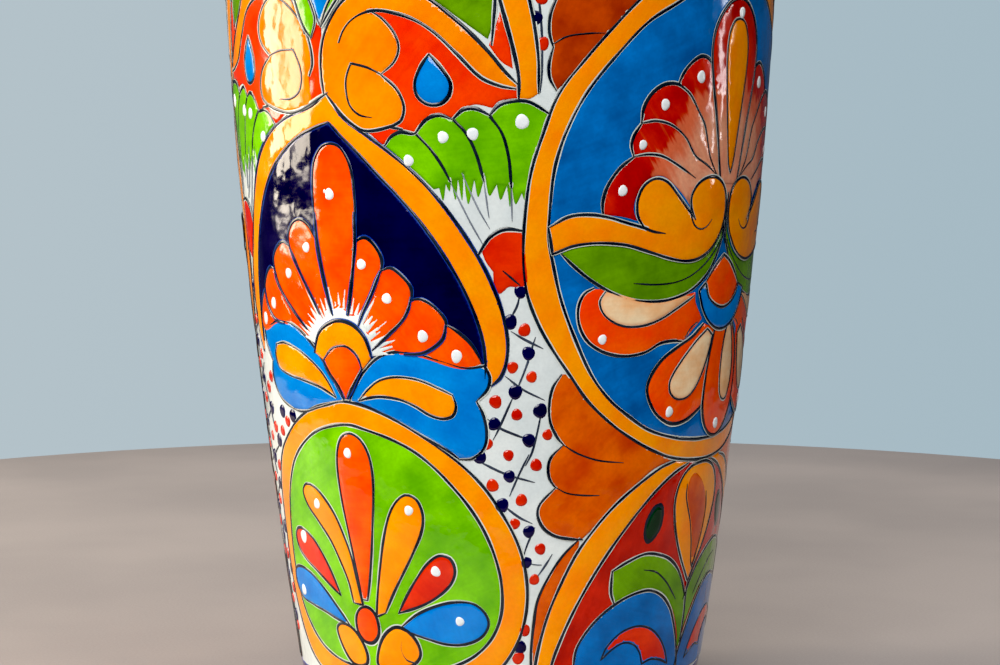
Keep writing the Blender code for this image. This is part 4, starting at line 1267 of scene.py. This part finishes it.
def glaze(name, deep, thin, edge=None, edge_reach=1.0, edge_amount=0.5, contrast=1.0, streak=0.35,
          rough=0.07, washed=None):
    """Glossy glaze in two tones: pooled and thin, by blotches and brush streaks.

    The flow attribute holds flat millimetres along and across the brush, and the edge attribute
    the distance from the outline. An edge colour darkens or lightens the rim, and washed colours
    take over as the grade attribute grows.
    """
    shader = Shader(bpy.data.materials.new(name))
    flow = shader.attribute("flow").outputs["Vector"]
    blotch = shader.noise(flow, BLOTCH_SCALE, 3.0, 0.55)
    brush = shader.noise(shader.stretched(flow, BRUSH_SCALE), 1.0)
    fine = shader.noise(flow, FINE_SCALE)
    tone = shader.plus(shader.times(blotch, 0.62), shader.times(brush, 0.38 * streak))
    middle = 0.31 + 0.19 * streak
    tone = shader.remap(tone, middle - TONE_SWING / contrast, middle + TONE_SWING / contrast)
    colour = shader.mix(tone, rgb(*deep), rgb(*thin))
    if washed:
        ragged = shader.unsteady(shader.attribute("grade").outputs["Fac"], brush, 0.7)
        for low, high, tint in washed:
            colour = shader.mix(shader.remap(ragged, low, high), colour, rgb(*tint))
    if edge:
        depth = shader.unsteady(shader.attribute("edge").outputs["Fac"], fine, edge_reach * 0.8)
        rim = shader.remap(depth, 0.0, edge_reach, edge_amount, 0.0)
        colour = shader.mix(rim, colour, rgb(*edge))
    grain = shader.remap(fine, 0.3, 0.7, 0.0, GRAIN_AMOUNT)
    colour = shader.mix(grain, colour, rgb(*[GRAIN_SHADE * v for v in deep]))
    roughness = shader.remap(blotch, 0.3, 0.7, rough, rough + 0.07)
    ripple = shader.plus(shader.noise(flow, RIPPLE_SCALE, 1.0),
                         shader.times(shader.noise(flow, SMALL_RIPPLE_SCALE, 1.0), 0.3))
    ripple = shader.plus(ripple, shader.times(fine, 0.012))
    shader.set(shader.surface, "IOR", GLAZE_IOR)
    return shader.finish(colour, roughness, shader.bump(ripple, RIPPLE_STRENGTH, RIPPLE_DEPTH))


def bare_clay(name, deep, thin):
    """Rough red-brown earthenware with sand in it."""
    shader = Shader(bpy.data.materials.new(name))
    place = shader.add("TexCoord").outputs["Object"]
    cloud = shader.noise(place, 60.0, 4.0)
    sand = shader.noise(place, 1400.0)
    colour = shader.mix(shader.remap(cloud, 0.35, 0.65), rgb(*deep), rgb(*thin))
    colour = shader.mix(shader.remap(sand, 0.60, 0.75, 0.0, 0.5), colour, rgb(222, 176, 140))
    roughness = shader.remap(sand, 0.3, 0.7, 0.78, 0.95)
    return shader.finish(colour, roughness, shader.bump(sand, 0.5, 0.0002))


GLAZES = {
    "white": glaze("white_ground", (212, 221, 222), (232, 238, 236), contrast=0.7, rough=0.10),
    "outline": glaze("outline_blue_black", (12, 15, 24), (40, 50, 62), contrast=0.8, rough=0.13),
    "thin_line": glaze("thin_grey_line", (96, 104, 118), (150, 158, 168), rough=0.15),
    "halo": glaze("bare_ground_line", (196, 204, 196), (226, 230, 222), rough=0.12),
    "navy_rim": glaze("thin_navy_rim", (16, 44, 130), (44, 84, 176), rough=0.10),
    "lattice_line": glaze("lattice_line", (28, 34, 50), (64, 74, 92), rough=0.13),
    "dot_white": glaze("dot_bluish_white", (228, 236, 240), (246, 249, 250), rough=0.08),
    "dot_navy": glaze("dot_navy", (8, 4, 44), (20, 16, 74), edge=(40, 44, 110), edge_reach=0.4),
    "dot_red": glaze("dot_red", (186, 20, 8), (226, 52, 20), edge=(190, 60, 40), edge_reach=0.5),
    "yellow": glaze("yellow_glaze", (255, 133, 0), (255, 161, 4), edge=(238, 112, 0),
                    edge_reach=0.9, contrast=0.8),
    "gold": glaze("gold_glaze", (250, 119, 0), (255, 149, 2), edge=(232, 100, 0), edge_reach=0.9,
                  contrast=0.8),
    "orange": glaze("orange_glaze", (250, 58, 0), (255, 104, 4), edge=(232, 44, 0),
                    edge_reach=0.8, contrast=0.8),
    "vermilion": glaze("vermilion_glaze", (236, 36, 0), (252, 72, 0), edge=(214, 30, 0),
                       edge_reach=0.8, contrast=0.8),
    # A green with its own olive tone, also darker than the green glaze as painted shade, for leaves
    # near the top of the pot and on the oval columns
    "olive_and_shade": glaze("olive_and_shade_glaze", (82, 130, 0), (114, 170, 0), edge=(54, 96, 6), edge_reach=1.0,
                   contrast=0.9),
    "red": glaze("red_glaze", (208, 26, 6), (236, 58, 14), edge=(180, 18, 8), edge_reach=0.8),
    "dark_red": glaze("dark_red_glaze", (162, 14, 4), (214, 38, 12), edge=(110, 6, 6),
                      edge_reach=1.2, contrast=0.9),
    "palmette": glaze("palmette_glaze", (176, 16, 4), (222, 44, 12), edge=(136, 12, 8),
                      edge_reach=1.0, contrast=0.9,
                      washed=((0.10, 0.34, (226, 110, 72)), (0.45, 1.25, (240, 170, 134)))),
    "cream": glaze("cream_glaze", (246, 186, 128), (252, 226, 184), edge=(232, 132, 66),
                   edge_reach=1.8),
    "amber": glaze("amber_glaze", (196, 62, 2), (232, 104, 6), edge=(160, 46, 4),
                   edge_reach=1.2, contrast=1.1, streak=0.2),
    # Amber darkened for the upper scallops: painted shade, for the darker top of the pot
    "amber_painted_shade": glaze("amber_painted_shade_glaze", (156, 44, 2), (204, 76, 4), edge=(130, 36, 4), edge_reach=1.2,
                  contrast=1.1, streak=0.2),
    "navy": glaze("navy_glaze", (6, 2, 40), (16, 8, 66), edge=(40, 58, 150), edge_reach=1.5,
                  edge_amount=0.75, contrast=0.7, rough=0.07),
    "blue": glaze("blue_glaze", (0, 112, 202), (6, 142, 228), edge=(0, 84, 176),
                  edge_reach=1.1, contrast=0.8),
    "light_blue": glaze("light_blue_glaze", (60, 150, 214), (130, 196, 232), edge=(40, 110, 190),
                        edge_reach=1.0),
    "deep_blue": glaze("deep_blue_glaze", (0, 85, 154), (0, 122, 208), edge=(4, 62, 126),
                       edge_reach=1.1, contrast=0.8),
    "green": glaze("green_glaze", (90, 168, 0), (130, 212, 4), edge=(60, 124, 8),
                   edge_reach=1.0, contrast=0.9),
    "seed": glaze("seed_green", (8, 34, 18), (18, 60, 34), rough=0.07),
    "cobalt": glaze("cobalt_band", (28, 22, 74), (72, 66, 150), edge=(120, 122, 190),
                    edge_reach=1.0, edge_amount=0.6, contrast=1.1),
    "lining": glaze("lining_glaze", (206, 206, 196), (224, 222, 210), contrast=0.7, rough=0.14),
    "clay": bare_clay("fired_clay", (142, 78, 52), (182, 112, 78)),
}


# ---------------------------------------------------------------- turned pieces

def turned_piece(name, rings, glaze_name, slot, node, edge=None):
    """A surface of revolution from rings, each an array of world points round the axis."""
    count, segments = len(rings), len(rings[0])
    points = np.concatenate(rings)
    faces = []
    for i in range(count):
        a, b = i * segments, (i + 1) % count * segments
        faces += [(a + k, b + k, b + (k + 1) % segments, a + (k + 1) % segments)
                  for k in range(segments)]
    mesh = bpy.data.meshes.new(name)
    mesh.from_pydata(points.tolist(), [], faces)
    mesh.materials.append(GLAZES[glaze_name])
    mesh.shade_smooth()
    set_attribute(mesh, "flow", points / MM)
    set_attribute(mesh, "edge", np.concatenate(edge) if edge else np.full(len(points), EDGE_LIMIT))
    add_piece(name, mesh, slot, node)


def round_azimuths(segments):
    return np.linspace(0.0, 2.0 * math.pi, segments, endpoint=False)


def exterior_coat():
    """The white ground over the whole outside."""
    azimuths = round_azimuths(224)
    stations = np.linspace(17.5, TOP_STATION, 190)
    rings = [on_pot(azimuths, s, 0.0) for s in stations[::-1]]
    rings += [on_pot(azimuths, s, -COAT) for s in (stations[0], TOP_STATION)]
    turned_piece("exterior_glaze_coat", rings, "white", "white_glaze", "exterior_glaze")


def foot_band():
    """A cobalt band round the foot, with a brushed upper edge and glaze beads at its hem."""
    azimuths = round_azimuths(320)
    top = (FOOT_BAND_TOP + 0.35 * np.sin(7 * azimuths + 1.0) + 0.25 * np.sin(19 * azimuths)
           + 0.12 * np.sin(53 * azimuths + 2.0))
    low = 2.2 + 0.35 * np.sin(11 * azimuths) + 0.25 * np.sin(29 * azimuths + 0.6)
    rings, edge = [], []
    for share in np.concatenate([[1.0], np.linspace(0.985, 0.03, 22), [0.0]]):
        height = 0.14 - 0.5 * (share > 0.99) + 0.25 * math.exp(-((share - 0.05) / 0.05) ** 2)
        rings.append(on_pot(azimuths, low + (top - low) * share, height))
        edge.append(np.minimum((top - low) * (1.0 - share), EDGE_LIMIT))
    for share in (0.0, 1.0):
        rings.append(on_pot(azimuths, low + (top - low) * share, -COAT))
        edge.append(0.0 * azimuths)
    turned_piece("foot_cobalt_band", rings, "cobalt", "cobalt_glaze", "foot_glaze_band", edge)


def rim_band():
    """Cobalt glaze round the rolled lip, thin along its crown."""
    azimuths = round_azimuths(224)
    crown = math.radians(62.0)
    rings, edge = [], []
    angles = np.radians(np.linspace(183.5, -76.5, 34))
    for radius, order in ((RIM_RADIUS, angles), (RIM_RADIUS - COAT, angles[::-1])):
        for a in order:
            uneven = radius + 0.12 * np.sin(3 * azimuths + 1.0) * (radius == RIM_RADIUS)
            rings.append(round_axis(azimuths, RIM_CENTRE[0] + uneven * math.cos(a),
                                    RIM_CENTRE[1] + np.minimum(uneven, RIM_RADIUS) * math.sin(a)))
            edge.append(np.full(len(azimuths), 0.6 + 7.0 * abs(math.sin(a - crown))))
    turned_piece("rim_cobalt_band", rings, "cobalt", "cobalt_glaze", "rim_glaze_band", edge)


def interior_lining():
    """Off-white glaze inside, with throwing rings."""
    azimuths = round_azimuths(160)
    inset = COAT + WALL + LINING + 0.6
    stations = np.linspace(16.5, TOP_STATION, 120)
    rings = []
    for s in stations[::-1]:
        ridge = 0.10 * math.sin(s / 2.9) + 0.12 * math.sin(s / 7.3)
        rings.append(on_pot(azimuths, s, -inset - 0.1 + ridge * 0.8))
    floor = [(64.0, 14.4), (58.0, 14.15), (30.0, 14.1), (8.0, 14.1), (0.6, 14.1)]
    underside = [(0.6, 13.65), (66.6, 13.65)]
    rings += [round_axis(azimuths, r, z) for r, z in floor + underside]
    rings += [on_pot(azimuths, s, -inset + LINING) for s in stations[::8]]
    turned_piece("interior_glaze_lining", rings[::-1], "lining", "lining_glaze", "interior_glaze")


def foot_ring():
    """The unglazed ring that the vase stands on, worn at its edges."""
    azimuths = round_azimuths(288)
    profile = [(72.3, 6.0), (72.05, 3.6), (71.7, 2.1), (71.1, 0.95), (70.2, 0.25), (69.0, 0.0),
               (66.5, 0.05), (64.0, 0.0), (62.7, 0.3), (61.6, 1.0), (61.0, 2.2), (60.8, 4.0),
               (60.9, 6.0)]
    rng = random.Random("foot ring")
    rings = []
    for i, (r, z) in enumerate(profile):
        worn = np.array([rng.uniform(-0.14, 0.06) for _ in azimuths])
        worn = (worn + np.roll(worn, 1) + np.roll(worn, -1)) / 3.0
        outward = -1.0 if i > 6 else 1.0
        height = z + (np.abs(worn) * 0.8 if 0 < z < 6.0 else 0.0)
        rings.append(round_axis(azimuths, r - COAT + outward * worn, height))
    turned_piece("foot_ring_clay", rings, "clay", "fired_clay", "foot_ring")


# ---------------------------------------------------------------- build the vase

for part in ("base_slab", "lower_body", "upper_body", "lower_shoulder", "upper_shoulder",
             "neck_collar", "rim_coil"):
    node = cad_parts[part]
    node.data.materials.clear()
    node.data.materials.append(GLAZES["clay"])

for build in (exterior_coat, foot_band, rim_band, interior_lining, foot_ring, shoulder_band,
              neck_strokes):
    build()

for prefix, azimuth in MEDALLION_COLUMNS.items():
    teardrop(prefix, azimuth)
    green_oval(prefix, azimuth)
    top_bud(prefix, azimuth)
    for side in ("left", "right"):
        wing(prefix, side, azimuth)
        scroll_field(prefix, side, azimuth)
        neighbours = [a + turn for a in OVAL_COLUMNS.values() for turn in (-360.0, 0.0, 360.0)]
        direction = 1.0 if side == "right" else -1.0
        oval = min((a for a in neighbours if (a - azimuth) * direction > 0.0),
                   key=lambda a: abs(a - azimuth))
        green_fan(prefix, side, azimuth, oval)
        lattice(prefix, side, (azimuth + oval) / 2.0)
for prefix, azimuth in OVAL_COLUMNS.items():
    blue_oval(prefix, azimuth)
    red_medallion(prefix, azimuth)
    for side in ("left", "right"):
        scallops(prefix, side, azimuth)


# ---------------------------------------------------------------- studio

FLOOR_CENTRE = (0.0, 0.32)
FLOOR_SIDES = 96
FLOOR_RINGS = (0.16, 0.3, 0.45, 0.58, 0.6)
FLOOR_LIP = -0.01
SENSOR_WIDTH = 36.0
LENS = 76.3
CAMERA_PLACE = (0.0, -0.8, 0.19)
CAMERA_DOWN = 3.5
BLACK_LEVEL = 0.011
DAYLIGHT = (1.0, 0.88, 0.70)
PANE_OFFSET = 0.17


def floor_disc():
    """A pale round floor, which reaches further behind the vase than in front of it."""
    mesh = bpy.data.meshes.new("floor")
    sides = FLOOR_SIDES
    points = [(0.0, 0.0, 0.0)]
    for r in FLOOR_RINGS:
        points += [polar((0.0, 0.0), r, 2 * math.pi * i / sides)
                   + (FLOOR_LIP if r == FLOOR_RINGS[-1] else 0.0,) for i in range(sides)]
    faces = [(0, 1 + i, 1 + (i + 1) % sides) for i in range(sides)]
    for a in range(1, 1 + (len(FLOOR_RINGS) - 1) * sides, sides):
        faces += [(a + i, a + sides + i, a + sides + (i + 1) % sides, a + (i + 1) % sides)
                  for i in range(sides)]
    mesh.from_pydata(points, [], faces)
    mesh.shade_smooth()
    shader = Shader(bpy.data.materials.new("floor_paper"))
    place = shader.add("TexCoord").outputs["Object"]
    cloud = shader.noise(place, 6.0, 3.0)
    grain = shader.noise(place, 900.0)
    colour = shader.mix(shader.remap(cloud, 0.3, 0.7), rgb(148, 140, 137), rgb(159, 150, 146))
    mesh.materials.append(shader.finish(colour, shader.remap(grain, 0.3, 0.7, 0.5, 0.6),
                                        shader.bump(grain, 0.1, 0.0001)))
    disc = bpy.data.objects.new("floor", mesh)
    disc.location = (*FLOOR_CENTRE, 0.0)
    bpy.context.scene.collection.objects.link(disc)


def area_light(name, place, target, size, energy, colour=(1.0, 1.0, 1.0)):
    data = bpy.data.lights.new(name, "AREA")
    data.shape = "RECTANGLE"
    data.size, data.size_y = size
    data.energy = energy
    data.color = colour
    light = bpy.data.objects.new(name, data)
    light.location = place
    light.rotation_euler = (Vector(target) - Vector(place)).to_track_quat("-Z", "Y").to_euler()
    bpy.context.scene.collection.objects.link(light)


def camera():
    """The photograph's viewpoint, 0.8 m from the axis at half the vase's height."""
    data = bpy.data.cameras.new("camera")
    data.sensor_width = SENSOR_WIDTH
    data.lens = LENS
    data.clip_start = 0.05
    view = bpy.data.objects.new("camera", data)
    view.location = CAMERA_PLACE
    view.rotation_euler = (math.radians(90.0 - CAMERA_DOWN), 0.0, 0.0)
    bpy.context.scene.collection.objects.link(view)
    bpy.context.scene.camera = view


floor_disc()
for pane in (-1.0, 1.0):
    area_light("window_pane", (-1.2, 0.16 + PANE_OFFSET * pane, 0.53),
               (0.0, 0.02 + PANE_OFFSET * pane, 0.34), (0.27, 0.92), 10.0, DAYLIGHT)
area_light("far_window", (1.3, 0.23, 0.26), (0.0, 0.0, 0.24), (0.07, 0.26), 0.6)
area_light("room_front", (-0.6, -2.25, 1.3), (0.0, 0.0, 0.18), (1.4, 1.4), 60.0,
           (1.0, 0.99, 0.97))
camera()


def room():
    """A pale wall to look at; the light itself comes from the ceiling and a dim room."""
    world = bpy.data.worlds.new("room")
    shader = Shader(world)
    direction = shader.add("SeparateXYZ", {0: shader.add("TexCoord").outputs["Generated"]})
    wall = shader.mix(shader.remap(direction.outputs["X"], -0.3, 0.3),
                      rgb(181, 195, 202), rgb(167, 187, 197))
    room_light = shader.mix(shader.remap(direction.outputs["Z"], 0.25, 0.85),
                            rgb(72, 76, 82), rgb(255, 255, 255))
    seen = shader.add("LightPath").outputs["Is Camera Ray"]
    background = shader.nodes["Background"]
    shader.set(background, "Color", shader.mix(seen, room_light, wall))
    shader.set(background, "Strength", 1.0)
    bpy.context.scene.world = world


def development():
    """Develop the picture with the photograph's deep blacks."""
    settings = bpy.context.scene.view_settings
    settings.view_transform = "Standard"
    settings.use_curve_mapping = True
    settings.curve_mapping.black_level = (BLACK_LEVEL,) * 3
    settings.curve_mapping.white_level = (1.0, 1.0, 1.0)
    settings.curve_mapping.update()


room()
development()
